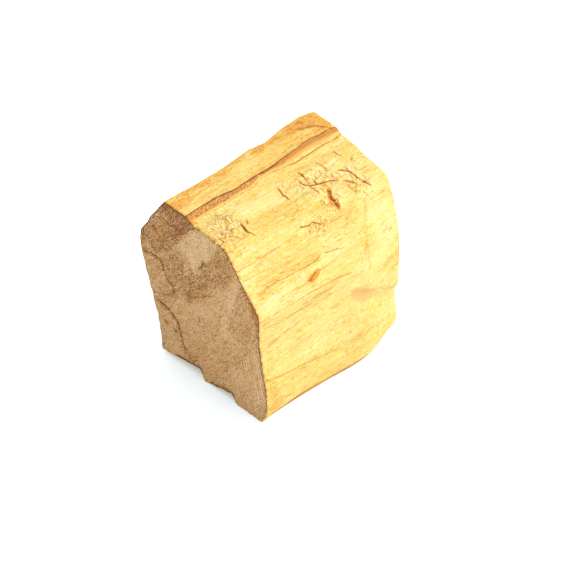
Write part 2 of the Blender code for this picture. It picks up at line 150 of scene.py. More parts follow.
# Short cracks of the torn zones, on the upper face: half their width and their X, Y points
CRACKS = (
    (0.15, ((-0.1, 4.4), (1, 5.1), (1.8, 6), (2.4, 6.9), (2.7, 8.3), (2.9, 9.6), (3.3, 10.5), (4.1, 11.9))),
    (0.22, ((-2.4, 6.4), (-1.5, 6.3), (-0.5, 6.3))),
    (0.12, ((1.8, 5.6), (2.9, 5.8), (3.6, 5.8))),
    (0.15, ((1.1, 7.6), (1.9, 7.3), (2.4, 7.6))),
    (0.11, ((-2.4, 11.5), (-0.9, 11.8), (0.2, 12))),
    (0.1, ((1.5, 10.7), (2.2, 10.7))),
    (0.14, ((4.9, 12.7), (5.7, 14), (6.4, 14.4), (7, 14.9))),
    (0.17, ((2, 14.2), (2.8, 15.1), (3.6, 15.8), (4.5, 16), (5.7, 16.1), (6.9, 16.3), (7.7, 16.8),
        (8.4, 17.5))),
    (0.12, ((-2.7, 17.1), (-1.7, 17), (-0.7, 17.4))),
    (0.08, ((1, 18.5), (2.3, 19.1), (3.4, 19.3))),
    (0.08, ((0.4, 17.8), (1.2, 17.3))),
    (0.09, ((8.1, 15.8), (8.5, 15.3))),
    (0.11, ((8.2, -3.3), (8.7, -1.2), (8.6, 0.2), (9.1, 1.4), (9.3, 2))),
    (0.09, ((9.5, 3.2), (9.9, 3.4))),
    (0.18, ((-1.7, -0.4), (-0.9, -0.6), (0.2, -1), (1.1, -0.7), (2.1, -0.7))),
    (0.08, ((-2.3, 1.3), (-2.2, 0.8), (-0.9, 0.9))),
    (0.07, ((-0.9, -0.6), (0, 0.1), (0.4, 0.9))),
    (0.11, ((4.9, -4.7), (5.3, -4.7))),
    (0.09, ((-1.1, 4), (-0.3, 5))),
    (0.09, ((-0.3, 4.4), (-0.3, 5.6))),
    (0.36, ((1.7, -14.4), (2.4, -14.6), (3.3, -14.7), (4.3, -14.7))),
    (0.16, ((4, -14.7), (5.4, -14.1))),
    (0.14, ((1.2, -12.6), (2.3, -13.1))),
    (0.11, ((-2.5, -15.8), (-1.8, -15.7), (-1.1, -16.1), (-0.3, -16.2))),
    (0.11, ((-1.1, -16.7), (-0.2, -16.8), (0.1, -16.2))),
    (0.14, ((0.3, -17.8), (1.3, -17.9), (2.4, -17.6))),
    (0.1, ((1.4, -17.5), (2, -17.2))),
    (0.09, ((-4.1, -18.2), (-3.8, -16.9), (-2.1, -18.3), (-1.5, -19.4))),
    (0.09, ((-2.9, -17.4), (-3, -16.3), (-1.5, -16.2))),
    (0.12, ((1.6, -21.2), (2.7, -20.9), (3.8, -21.4), (3.7, -22))),
    (0.09, ((-1.2, -20.4), (-0.4, -20), (0.2, -20.9))),
    (0.1, ((4.8, -19.8), (5.5, -19.6), (5.9, -19.7))),
    (0.09, ((5.7, -17.7), (6.4, -17.5), (6.7, -18))),
    (0.09, ((6.6, -19.5), (7.2, -19), (7.6, -19.8))),
    (0.08, ((9, -12.8), (9.4, -12.4))),
    (0.08, ((9, -10.6), (9.2, -9.7))),
)
CRACK_DROP, CRACK_RISE = 0.4, 0.25  # how far the wood drops before a crack and rises past it, in half widths
CRACK_SPREAD = 0.24  # how wide these are
CRACK_SHIFTS = (-0.21, 0.3, 0.1, 0.75)  # how far past the crack its drop, its rise, its painted orange shade and its painted highlight lie
CRACK_AROUND = 1.5  # farther off than this a crack changes nothing
CRACK_PAINTED_SHADE, MOST_PAINTED_SHADE = 4.5, 0.7  # how strong its painted orange shade is per half width, and at most
CRACK_HIGHLIGHT, FINE_PAINTED_SHADE = 0.5, 0.5  # and its painted highlight, and the share of that painted shade beside fine cracks
CRACK_LINE = 0.85  # the share of a crack's width that is dark
BOLD_CRACK = 0.09  # thinner ones are fine

# Small cracks at random places in these zones: X, Y, reach across, reach along, how many
FLAKE_ZONES = ((-1.0, -18.0, 4.5, 3.2, 36), (3.5, -20.3, 3.2, 1.6, 16), (2.0, 7.0, 5.0, 8.0, 18),
               (5.0, 15.0, 4.0, 4.0, 16), (9.3, 0.5, 1.2, 3.2, 8))
FLAKE_SEED = 41
FLAKE_HALF, FLAKE_LEAN, FLAKE_BOW = (0.2, 0.6), (-0.35, 0.2), (-0.1, 0.35)  # half their length, and shape
FLAKE_LINE = (0.05, 0.11)  # and half their width

# Where a long splinter has lifted off, leaving a step along the grain: face, the step's line as (Y, across),
# its height, and how far the lowered side takes to climb back. A negative reach lowers the side of smaller
# values.
LEDGES = (
    ("upper", ((5.6, 2.4), (8.2, 3), (10.2, 3.4), (12.4, 4.8)), 0.4, 2.5),
    ("upper", ((-4.6, 8.4), (-1.5, 8.9), (2, 9.6), (3.6, 10.6)), 0.4, 2.5),
    ("upper", ((13.2, 1.6), (15.3, 3.1), (15.9, 4.4)), 0.35, 2),
    ("upper", ((-20, 14), (-9, 13.1), (3, 12.6)), 0.25, 2),
    ("right", ((-22.6, 12.3), (-10.9, 10.3), (0.4, 7.8), (11, 6.4), (20, 4.5)), 0.35, -4),
    ("left", ((-18, 33), (-2, 31.8), (14, 32.4)), 0.6, -3),
    ("left", ((-21, 17.2), (-6, 18.6), (9, 17.8)), 0.5, -3),
    ("left", ((2, 10), (12, 9.2), (21, 9.6)), 0.45, 3),
)
LEDGE_RISE = 0.3
LEDGE_END = 3.0  # over what length along the grain a step fades out

# The hollow scooped low on the right face: its deepest line as (Y, Z), its depth, how fast it closes above
# and below that line, and over what length it opens
SCOOP_LINE = ((2.0, 21.0), (9.9, 17.2), (15.0, 14.3), (20.7, 10.2), (22.6, 8.8))
SCOOP_DEPTH, SCOOP_ABOVE, SCOOP_BELOW, SCOOP_OPENING = 0.8, 1.3, 3.6, 8.0

# The pin knot on the slope: its centre, radius along and across, and height
KNOT, KNOT_ALONG, KNOT_ACROSS, KNOT_HEIGHT = (14.8, -5.2, 30.7), 1.5, 0.6, 0.25

# The brown tinge of the near rim: how far it reaches, its strength, the size of its patches and the noise
# values over which they come up
RIM_TINGE, RIM_WARM, RIM_PATCH, RIM_PATCHY = 0.9, 0.8, 1.0, (-0.25, 0.3)
RIM_STAIN = 0.45  # and how far its darker part reaches

# Wear where the split faces meet the sawn ends, and where the chunk stands
EDGE_WEAR, EDGE_CHIPS, CHIP_SIZE, EDGE_REACH = 0.12, 0.4, 2.4, 0.65
FINE_CHIPS, FINE_CHIP_SIZE = 0.25, 0.8
CALM_AT_END, CALM_REACH = 0.35, 4.0  # the share of the lumps and steps left at the sawn ends
CALM_UNDER = 0.5  # and on the underside
CALM_STRIP, STRIP_TO = 0.4, -7.6  # and on the strip of the upper face whose X is less than this
FLOOR_LAND = 0.2  # what lies lower than this is worn flat on the floor

# The dark band: over what width it comes up before its head and ends at its foot, where along the grain it
# parts into a head and a foot, the width of its head there, and how much of its tone is lost past there,
# between the two and everywhere
BAND_RISE, BAND_FALL = 0.35, (-0.8, 0.2)
BAND_PARTS, BAND_HEAD, BAND_FADED, BAND_SMOOTH = (2.0, 7.0), (0.8, 1.5), 0.3, 0.32

# Marks on the split faces, by mark and face. A line is: how strong or dark, half its width, the depth of its
# groove, and its points as (across, Y). Two lines of the right face are both warm and dark.
UPPER_CREASE = ((29.6, -22.4), (28.2, -16.8), (28, -7.7), (27.2, 0), (26.2, 5))
LOWER_CREASE = ((12.3, -22.5), (11.2, -17), (10.3, -10.9), (8.9, -4), (7.8, 0.4))
LINES = {
    ("stain_and_shade", "upper"): (
        (0.45, 0.35, 0.05, ((-7.2, -22.5), (-7.3, -18), (-7.3, -14), (-6.9, -11), (-6.5, -9), (-6.6, -6),
            (-6.8, -3), (-6.9, 3), (-7.2, 7.5), (-7.8, 12), (-8, 15.5), (-7.5, 18.5), (-7.6, 21),
            (-7.2, 22.5))),
        (0.7, 0.65, 0, ((-6.8, 5.5), (-7.3, 9), (-7.4, 12.5), (-7.6, 15.5), (-7.1, 19), (-6.9, 22.5))),
        (0.6, 0.5, 0.05, ((-12.4, 15.5), (-12, 17), (-11.1, 18.4), (-10, 19.8))),
        (0.7, 0.4, 0, ((-14.1, 16.6), (-14.4, 17.9), (-13.2, 17.7))),
    ),
    ("line", "upper"): (
        (1, 0.15, 0, ((-7.3, -22.5), (-7.45, -18), (-7.45, -14), (-7.05, -11), (-6.6, -9), (-6.7, -6),
            (-6.95, -3), (-7, 3), (-7.2, 5.4))),
        (0.8, 0.16, 0, ((-7.2, 5), (-7.4, 7.5), (-7.8, 9.2), (-7.8, 11), (-8.2, 12.6), (-8.1, 14.2),
            (-8.35, 15.5), (-7.9, 17), (-7.7, 18.5), (-7.9, 20.2), (-7.7, 21.2), (-7.4, 22.5))),
        (0.3, 0.1, 0.03, ((-5.3, -16), (-5.1, -11.7), (-5.4, -7.6), (-5.2, -4.8), (-5.7, -3.1), (-6.1, -1.3),
            (-6.2, 2.1), (-5.6, 4.4), (-5.3, 6.5))),
        (0.5, 0.14, 0.03, ((-5.3, 6.5), (-5.1, 8.9), (-5.4, 10.6), (-5.3, 13.4), (-5.6, 14.6), (-5.6, 17.1),
            (-5.2, 18.9), (-5.6, 22.5))),
        (0.8, 0.14, 0.08, ((-13.1, 15.6), (-11.9, 16), (-11.6, 17), (-11.2, 18.1), (-10.4, 19.7),
            (-8.9, 20.4), (-8.2, 21.3))),
        (0.6, 0.12, 0.05, ((-14.5, 17.6), (-13.7, 17.2), (-12.9, 17.3), (-11.5, 18.3))),
        (0.4, 0.08, 0.06, ((12.8, -18.7), (12.7, -14.9), (13, -10.7), (13.1, -7.8), (13.2, -5), (13.2, -3.5),
            (12.8, -1.4))),
        (0.3, 0.09, 0.06, ((12.9, -0.3), (13.1, 1.6), (13.6, 4.8))),
        (0.3, 0.08, 0.04, ((11.9, 6.4), (12.7, 7.1))),
        (0.8, 0.12, 0.05, ((14.95, -6.9), (14.65, -6.2), (14.5, -5.3), (14.4, -4.3))),
        (0.8, 0.2, 0, ((14.9, -6.9), (15.05, -6.3), (15.1, -5.8))),
        (0.6, 0.16, 0, ((15.2, -12.5), (15.3, -12.2))),
        (0.5, 0.13, 0, ((14.7, -10.5), (14.8, -10.2))),
        (0.5, 0.12, 0, ((14.9, -14.6), (14.95, -14.3))),
    ),
    ("warm", "upper"): (
        (0.7, 0.3, 0, ((-6, 2.1), (-5.6, 4.4), (-5.1, 8.9), (-5.2, 13.4), (-5.6, 17.1), (-5.2, 18.9),
            (-5.6, 22.5))),
        (0.4, 0.7, 0, ((12.4, -20), (12.3, -14), (12.6, -7), (12.6, -2))),
        (0.9, 0.32, 0.05, ((12.9, 11.4), (13.9, 11.1), (14.7, 10.9), (15.2, 10.9))),
        (0.7, 0.35, 0.05, ((9.9, 14.8), (11.3, 13.5), (13.2, 11.7), (15.1, 9.9))),
    ),
    ("warm", "right"): (
        (0.9, 0.35, 0.05, ((29.2, 10.9), (26.5, 10.8), (23.9, 10.9))),
        (0.9, 0.4, 0.06, ((29.5, 9), (28.6, 6.6), (28.4, 3.4), (29, -0.2), (29.4, -2.3))),
        (0.8, 0.9, 0.05, ((21.6, 22), (21.9, 18.9), (21.3, 16.2))),
        (0.7, 0.8, 0, ((18.2, 21.6), (17.6, 19.2))),
        (0.9, 0.5, 0.05, ((6.4, 4.4), (7.5, 5.4), (7.7, 7.8))),
        (0.7, 0.3, 0, UPPER_CREASE),
        (0.8, 0.45, 0, LOWER_CREASE),
        (0.7, 0.4, 0, ((6.3, 2), (6.2, 6), (7.4, 10))),
    ),
    ("line", "right"): (
        (0.3, 0.08, 0.03, ((28.8, 7), (28.4, 3.4), (29, -0.2), (29.4, -2.3))),
        (0.3, 0.08, 0.03, ((29.1, 1.2), (27.6, 3.3))),
        (0.35, 0.1, 0.07, UPPER_CREASE),
        (0.2, 0.06, 0.04, ((25.9, -22), (25.4, -14), (24.7, -6))),
        (0.3, 0.08, 0, LOWER_CREASE),
        # These two run along the foot of the right face: partly brown wood and partly painted contact shade.
        (0.9, 0.24, 0, ((2.2, -17.6), (2.6, -15), (2.8, -12.6), (2.6, -10.6), (2.3, -9))),
        (0.5, 0.16, 0, ((2.3, -8.4), (1.9, -5.5), (1.6, -3), (1, 0.5), (0.8, 3))),
        (0.55, 0.12, 0.1, ((8.7, -20.1), (9.9, -19.4))),
        (0.5, 0.1, 0.05, ((13.3, -22.3), (12.4, -21.5), (11.6, -21))),
    ),
    ("ember_and_shade", "upper"): (
        (0.75, 0.4, 0, ((-6.3, -22.2), (-5.2, -22), (-4.6, -21.5))),
        (0.35, 0.4, 0, ((-1, -21.7), (0.3, -21.9), (1.5, -22), (2.7, -22.1), (4.9, -22.1))),
    ),
    ("pale_and_highlight", "upper"): (
        (0.8, 0.5, -0.08, ((14.8, -19.5), (14.2, -6.6), (13.8, -2.6), (13.7, 3))),
    ),
    ("stain_and_shade", "right"): (
        # along the foot of the right face: partly brown wood and partly painted contact shade
        (0.9, 0.5, 0, ((2.2, -20.5), (2.4, -17), (2.7, -14), (2.7, -11.7), (2.3, -8.3), (1.9, -5.3),
            (1.5, -2), (1, 0.8), (0.7, 5), (0.5, 9))),
    ),
    ("line", "left"): (
        (0.3, 0.12, 0.1, ((33.6, -21.4), (32.5, -17), (32.2, -12.5), (31.2, -8), (31.6, -3.5), (31, 1),
            (31.9, 6), (31.7, 10.5))),
        (0.2, 0.1, 0.08, ((16.2, -19), (16.9, -14), (18.1, -9.5), (17.6, -3), (18.3, 2.5), (17.2, 9),
            (17.5, 14), (16.3, 20.5))),
        (0.6, 0.11, 0.2, ((26.9, 4.6), (26.2, 7), (26.4, 9.8), (25.7, 12.4), (26.3, 15.2))),
        (0.5, 0.1, 0.2, ((8.4, -17), (7.6, -13.6), (7.9, -10.2), (7, -7.4), (7.4, -4))),
    ),
    ("line", "under"): (
        (0.3, 0.12, 0.1, ((-10.7, -21), (-9.6, -13), (-10.2, -4), (-9.4, 5), (-10.6, 16))),
        (0.6, 0.11, 0.2, ((2.2, -11), (3, -5), (2.6, 1), (3.3, 6), (2.5, 11))),
    ),
}
WANDER, WANDER_SIZE = 0.16, 1.3  # how far a line wanders from its points, and over what length
LINE_TIP, LINE_TAPER = 0.5, 0.8  # the share of its width at its ends, and how far from them it has it all
LINE_UNEVEN, LINE_UNEVEN_SIZE = 0.8, 0.9  # how much its width varies, and over what length
LINE_CLEAR = 0.5  # lines leave no trace farther off than this
LINE_EDGE, EDGE_SOFTNESS = 0.06, 0.04  # how uneven its edges are, and how soft
LINE_REACH = (0.25, 0.45)  # how near a line its width is kept in full, and how far off it is gone
NO_LINE = 0.02  # half a width too small to draw

# Patches of the split faces: mark, face, how strong, how soft their edge is, and outline as (across, Y)
PATCHES = (
    # The first two are painted shade in the hollow scooped low on the right face.
    ("scoop_shade", "right", 0.85, 0.8, ((21.2, 5.2), (20.8, 7), (18.7, 10.5), (16.1, 13.3), (13, 16), (13.6, 13.7),
        (15, 10.6), (15.6, 8.4), (17.8, 6), (19.6, 4.6))),
    ("scoop_shade", "right", 0.35, 1, ((23.1, -0.1), (23.1, 2.3), (22.2, 4.7), (20.8, 6.4), (19.4, 5.3), (19.6, 3.3),
        (20.2, 0.8), (20.8, -0.9))),
    ("ember_and_shade", "upper", 0.9, 0.14, ((15, -7.3), (14.6, -6.8), (14.3, -5.8), (14.2, -4.7), (14.15, -3.5),
        (14.4, -2.9), (14.8, -3.6), (15.2, -4.8), (15.4, -6), (15.3, -6.9))),
    ("stain_and_shade", "upper", 0.55, 0.5, ((-12.5, 15.4), (-12.2, 16.9), (-12, 18.5), (-11.3, 19.4), (-10.2, 19.5),
        (-10.6, 17.5))),
)

# A zone, by mark and face, is: how strong, and its centre and its reach, each across the grain and along it
ZONES = {
    ("warm", "upper"): (
        (1.1, -12.5, -6.9, 1.3, 2.8),
        (1, -12.6, -11.5, 1.2, 2.6),
        (0.9, -13.2, -15.5, 1.4, 3.5),
        (1.1, -13.6, -1.4, 1.4, 3.5),
        (1.4, -13.4, 4.2, 2, 3.4),
        (1.35, -13.4, 9.6, 2.1, 3.6),
        (1, -11.6, 11.8, 2, 3),
        (1.55, -13.4, 15, 2.8, 3.4),
        (1.45, -12.6, 20, 3.8, 3.8),
        (1, -9.4, 20.5, 2.4, 4),
        (0.8, -9.6, 13, 2, 4),
        (0.7, -11, -19.5, 1.6, 3.5),
        (0.45, -10.5, 0, 4, 26),
        (0.45, -2, 7, 1.6, 2.4),
        (0.8, 7.4, 3.6, 1.2, 3.6),
        (0.8, 13.6, -18.6, 1.2, 2.6),
        (0.7, 0.3, 18, 1.6, 1.8),
        (0.6, 9, -6, 0.9, 2.6),
        (0.6, -3.6, -6.8, 1.2, 2.5),
        (0.8, 14.6, -6.2, 1, 1.4),
        (0.45, 8.4, 2.5, 2, 6),
        (0.3, 6, -4, 1.6, 9),
        (0.45, 6, 13.6, 2.4, 1.6),
        (0.35, 12.6, -14, 2.2, 6),
    ),
    ("pale_and_highlight", "upper"): (
        (0.45, -10.6, -1.5, 1.4, 3.6),
        (0.35, -9.6, -14, 1.6, 6),
        (0.8, 0.6, -3.8, 1.8, 4),
        (0.6, 1.8, 3.4, 1.6, 3),
        (0.6, 5.2, 5.4, 1, 2.6),
        (0.5, 0, -18, 5.5, 4),
        (0.45, -2, -8, 3, 8),
        (0.55, 12, 3, 2.2, 4.5),
        (0.45, 1.5, 15.5, 4, 5),
        (0.6, -0.6, 8.6, 1.4, 2.4),
        (0.6, 11.5, 17, 4, 5),
    ),
    ("stain_and_shade", "upper"): (
        # before the big torn wall: partly stain and partly painted shade
        (0.45, 7.9, 6.8, 0.9, 1.4),
    ),
    ("warm", "right"): (
        (0.7, 28, -20.8, 2.6, 1.8),
        (0.35, 24, -4.5, 2.4, 3.5),
        (0.3, 11, 16.5, 2.4, 4),
        (0.6, 3.2, -3, 2.2, 12),
        (0.7, 4, -19.5, 3.6, 2.6),
        (0.5, 12, -20.5, 6, 2),
        (0.35, 8, -8, 3, 10),
    ),
    ("pale_and_highlight", "right"): (
        (0.55, 25.5, 13, 3, 6),
        (0.4, 15, -6, 4, 9),
        (0.3, 21.5, -14, 2.6, 5),
    ),
    ("warm", "left"): (
        (0.7, 22, 0, 40, 60),
        (1.2, 21.5, 0, 4, 14),
    ),
    ("pale_and_highlight", "left"): (
        (0.5, 36, 3, 4, 10),
    ),
    ("stain_and_shade", "left"): (
        (0.3, 11, -12, 4, 6),
    ),
    ("warm", "under"): (
        (0.7, 0, 0, 40, 60),
    ),
    ("stain_and_shade", "under"): (
        (0.25, 4.5, 6, 3, 8),
    ),
}
ZONE_RAGGED, ZONE_RAGGED_ACROSS, ZONE_RAGGED_ALONG = 0.36, 1.6, 7.0
ZONE_EDGE = (0.35, 1.35)  # from full strength to none, as shares of the reach
CHAFF_ZONES = ((0.0, -17.5, 5.5, 4.5), (2.0, 7.5, 4.0, 6.0), (7.5, 6.5, 2.6, 3.0), (6.0, 15.0, 4.0, 3.5),
               (9.5, 0.5, 1.6, 4.0), (3.0, -21.3, 4.0, 1.6))

# The sawn ends. Drying cracks are X, Z lines.
NEAR_CRACKS = (
    ((-20.8, 25.8), (-18.6, 26.4), (-16.5, 26.6), (-14.9, 26.3), (-14.6, 24.1), (-13.6, 22.3), (-11.7, 21.5),
        (-11.2, 19.2)),
    ((-17, 14.4), (-13.3, 13.9), (-10.3, 12.1), (-9.3, 9.1), (-8.8, 7.1), (-7.8, 4.9)),
)
FAR_CRACKS = (
    ((-16.5, 30.4), (-14.2, 28.6), (-11.4, 27.9), (-9.6, 25.4), (-8.9, 23.2), (-6.2, 21.6), (-3, 21.2)),
    ((1.6, 12.6), (3.4, 11.9), (4.6, 9.8), (6.4, 8.9), (7.1, 6.4)),
)
CRACK_DEPTH, CRACK_HALF_WIDTH, CRACK_STEP = 0.3, 0.2, 0.3
END_STEP = {"near": 0.4, "far": 0.6}  # between the points of an end
END_SEED = {"near": 51, "far": 52}
STEP_SHAKE, STEP_CLEAR = 0.25, 0.5  # how far they are shaken and how clear of rim and cracks, in steps
RIM_CLEAR = 0.1  # how clear of the rim the points along a crack lie
TOO_CLOSE = 1e-5  # points of an end that are closer than this are taken as one
END_FUZZ, END_FUZZ_SIZE = 0.035, 0.6  # the depth and size of its rough grain
END_RISE = 0.8  # how far inside the rim the relief is full
SAW_SPACING, SAW_DEPTH, SAW_LEAN = 0.85, {"near": 0.015, "far": 0.03}, 0.28

# Marks on the near end: its lines, each half its width and its X, Z points, and spots drawn the same way
END_KNOT = ((-1.4, 34.2), (-2, 33), (-3, 32))
END_LINES = (
    (0.1, NEAR_CRACKS[0]),
    (0.07, ((-18, 15.9), (-14.5, 17.3), (-10.8, 19.8))),
    (0.11, NEAR_CRACKS[1]),
    (0.11, ((-8.8, 7.1), (-7.8, 4.9), (-5.2, 3.6))),
    (0.07, ((-8.7, 10.2), (-6.6, 10.6))),
    (0.14, ((-14.3, 42.9), (-12.7, 42.6), (-11.9, 43.8))),
    (0.12, ((-7.7, 43.3), (-7.5, 41.9), (-6.3, 42.8))),
    # painted shade under a thin sliver lifted at the top of the near end
    (0.14, ((-3.9, 42.8), (-5.4, 41.2), (-6.6, 40), (-8.1, 38.2), (-10.2, 36.9), (-12.2, 35.6))),
    (0.05, ((10.6, 36.7), (10, 33.4), (6.4, 23), (3.3, 18.7), (1.2, 14.2))),
    (0.06, ((13.9, 20.1), (11.4, 15.7), (9.8, 13.8))),
    (0.05, ((-14.4, 24.1), (-10.4, 25.6), (-7.3, 28.5))),
    (0.06, ((-10.5, 23.3), (-7.3, 27.1), (-2.6, 32.5))),
    (0.17, END_KNOT),
    (0.19, ((-14.3, 9.9), (-13.9, 9.4))),
    (0.17, ((-11.2, 9.1), (-10.9, 8.6))),
    (0.13, ((-3.5, 17.4), (-3.3, 17))),
    (0.11, ((-2.2, 18.3), (-1.8, 18))),
    (0.17, ((-17.6, 34.8), (-17.1, 34))),
    (0.13, ((-20.9, 31.6), (-21.2, 30.4), (-20.8, 29.4))),
)
END_SPOTS = {
    "stain_and_shade": (
        (0.4, ((-17.8, 35), (-17, 34.2))),
        (0.75, ((-9.6, 2), (-6.5, 2.5), (-3.4, 3))),
        (0.75, ((2.4, 1.5), (4.8, 2.2), (7.2, 2.5))),
        (0.35, ((-21.3, 31.8), (-20.9, 30.8))),
        (0.45, END_KNOT),
    ),
    "ember_and_shade": (
        (0.5, ((-15.9, 34.8), (-15.3, 34))),
    ),
}

# The parts of its rim that are dark: half the width there and their X, Z points. The first two are partly
# the wood's dark edge and partly painted shade, and the last two are painted shadow in the gaps under the
# chunk.
RIM_LINES_AND_SHADOWS = (
    (0.26, ((-13, 43.8), (-10.4, 43.5), (-7.9, 43.4), (-6, 43.1))),
    (0.24, ((-22.6, 25), (-22.8, 27), (-22.3, 31), (-18, 38), (-14.4, 43.6), (-12, 43.6))),
    (0.15, ((3.8, 42.2), (5.6, 41.8), (8.4, 38.1), (11.2, 34.4), (13.8, 31.8), (15.9, 29.4), (15.7, 24.4))),
    (0.12, ((15.7, 24.4), (16.2, 18.4), (17.5, 12.3), (18.4, 4.3))),
    # painted shadow in the gaps under the bottom of the near end
    (0.62, ((-10.5, 1.3), (-7, 2), (-3.2, 2.5))),
    (0.62, ((1, 0.6), (4, 1.2), (7.1, 1.8))),
)
RIM_REACH = (0.5, 0.6)  # in place of LINE_REACH
RIM_TURN = 0.8  # the share of that width by which the dark line reaches round onto the split faces
RIM_BESIDE = (1.4, 0.7)  # how near these the rim is before it starts to darken, and is fully dark

# Its patches, by mark: strength and X, Z outline
END_AREAS = {
    "brown": (
        (0.95, ((-14.3, 43.9), (-7.2, 43.5), (-3.4, 43.4), (-8.1, 37.4), (-12.4, 30.8), (-20.8, 25.6),
            (-22.3, 26.9), (-21.9, 31.2), (-17.9, 37.3))),
        (1, ((-12, 44), (-5, 43.5), (-7.2, 40), (-11, 37.5), (-13, 40))),
        (0.5, ((3, 41), (6.6, 41.1), (8.6, 38.8), (7.5, 34.1), (2.4, 29.1), (-3.3, 21.6), (-7.5, 19.2),
            (-9, 21.5), (-4.7, 28.3), (-1.6, 33.4), (0.5, 37.3))),
        (0.5, ((-15, 27.8), (-9.8, 32.8), (-7.3, 28.9), (-8.4, 22.8), (-11.1, 18.3), (-17.4, 15.7),
            (-12.1, 20.5), (-14.4, 22.7))),
        (0.7, ((-9, 21.5), (-7, 27), (-3, 31), (0.5, 33), (1.5, 29.5), (-2.5, 23.5), (-6.5, 19.8))),
        (0.22, ((10, 29.3), (15.5, 27.9), (15.9, 21.8), (12.4, 18.6), (7.3, 19), (6.4, 22.1), (7.9, 25.8))),
        (0.25, ((-21.4, 24.3), (-16.6, 26.3), (-14.9, 22.4), (-13.1, 20.7), (-17.4, 16.7), (-18.9, 19))),
        (0.45, ((-8.8, 5.9), (-5.1, 7.3), (-2.6, 3.4), (-6.3, 2.4), (-8.4, 2.9))),
    ),
    "stain_and_shade": (
        (0.48, ((-14.3, 43.9), (-7.2, 43.5), (-3.4, 43.4), (-8.1, 37.4), (-13, 38), (-15, 40.5))),
        (0.95, ((12.4, 32), (15, 32.2), (16.9, 29.6), (16.5, 25), (15.3, 25.5), (14.3, 28.4), (12.6, 30.2))),
    ),
    "light": (
        (0.6, ((-17, 40.2), (-15.2, 39.8), (-14.8, 38), (-15.6, 36), (-16.8, 36.6))),
        (0.75, ((-18.4, 33.6), (-16.9, 33.2), (-16.8, 31.8), (-18, 31.6))),
        (0.8, ((-20.2, 30.2), (-18.8, 29), (-18, 27), (-19.4, 26.8), (-20.6, 28))),
        (0.85, ((-8.1, 37.4), (-2.9, 43), (1.6, 42.9), (3.6, 42.4), (0, 36.1), (-3.6, 30), (-4.8, 29.4),
            (-6.4, 32), (-9.7, 34.6))),
        (0.28, ((-8.5, 18.4), (-3.3, 21.4), (3.4, 29.5), (6.5, 31.6), (4.9, 26.1), (2.3, 20.4), (-1.4, 12.5),
            (-5.1, 8.5), (-8.2, 10), (-10.2, 13.4))),
        (0.95, ((10.1, 37.9), (8.7, 32.5), (8.4, 29), (7.4, 26.7), (5.9, 21.7), (5.3, 17.7), (3.7, 16.4),
            (4.1, 21.5), (4.9, 26.1), (7.5, 33.6))),
        (0.25, ((-17, 13.7), (-13.3, 12.8), (-10.8, 10.2), (-10.4, 4.9), (-8.9, 3.5), (-14.7, 1.2),
            (-16.1, 7.8))),
        (0.5, ((6.7, 9.9), (10.3, 11.8), (11.3, 8.7), (9.2, 4.1), (7.2, 6.5))),
    ),
    "ember_and_shade": (
        (0.5, ((14.6, 29.6), (15.6, 29.9), (16.6, 28.6), (16.4, 26.4), (15.4, 27.4))),
    ),
    "sawn": (
        (1, ((12.1, 18.5), (15.9, 21.4), (17.2, 15.3), (18.4, 6.9), (15.3, 3.9), (12.8, 7.8), (10.3, 11.8))),
        (0.45, ((9.7, 4.5), (16.3, 5), (17.2, -0.2), (7.6, -0.2))),
    ),
}
END_RIM, END_RIM_FROM = 1.4, (8.0, 30.0)  # how far the rim's tinge reaches, and over which X + Z it comes up
END_RIM_BROWN, END_RIM_STAIN = 0.7, 0.35  # and its strength
RIM_UNEVEN_SIZE = 1.3  # over what length the width of the rim's dark parts varies
END_WANDER, END_WANDER_SIZE = 0.35, 1.4  # how far the marks wander from their points, and over what length
PATCH_BLUR = 1.2  # how soft the edges of the patches are
LINE_HALO, HALO_BROWN = 0.6, 6.0  # the brown beside a line, partly stain and partly painted shade beside the cracks: its reach, and its strength per half width
END_BOLD, THIN_DARK = 0.08, 0.3  # thinner lines of the end are only this dark

# The same for the far end, where all cracks are lines of one width, and where the light patches are random
FAR_WANDER, FAR_WANDER_SIZE = 0.5, 1.8
FAR_LINE, FAR_DARK = 0.13, 0.8
FAR_HALO, FAR_BROWN = 3.0, 0.5
FAR_PATCH, FAR_SAWN = 7.0, 0.6

# Torn fibres that stand up from the split faces, at random places in these zones: face, centre as (across,
# Y), reach across and along, how many, and the way that they point along the grain, or 0 for either way
FIBRE_ZONES = (
    ("upper", (-1, -18), (4.6, 3.2), 110, 0),
    ("upper", (4.5, -20.6), (4, 1.4), 34, 0),
    ("upper", (0.8, -21.8), (5.5, 0.2), 22, -1),
    ("upper", (3, 7.5), (5, 6), 50, 0),
    ("upper", (6, 15), (4, 3), 26, 0),
    ("upper", (9.3, 1), (1.2, 3), 14, 0),
    ("right", (5, -21.6), (4, 0.5), 8, 0),
    ("left", (24, 0), (10, 20), 36, 0),
    ("under", (-2, 0), (12, 20), 24, 0),
)
WALL_FIBRES = 1.6  # how many stand at a torn wall, for each millimetre of it
FIBRE_SEED = 43
FIBRE_RINGS = (0.0, 0.3, 0.6, 0.85, 1.0)  # where along a fibre its cross-sections lie
FIBRE_ROOT = 0.12  # how deep a fibre is rooted
FIBRE_LENGTH, FIBRE_WIDTH, FIBRE_THICKNESS = (0.4, 1.1), (0.1, 0.32), (0.05, 0.1)
FIBRE_LIFT, FIBRE_CURL = (0.1, 0.35), (-0.35, 0.35)  # of the tip, as shares of the length
FIBRE_NARROWS, FIBRE_THINS = 0.85, 0.6  # the shares of its width and thickness that it has lost at its tip
WALL_BACK = (0.05, 0.5)  # how far past a torn wall its fibres are rooted
MOST_PALE = 0.9  # the strength of the pale mark on the palest fibre, which is its own tone

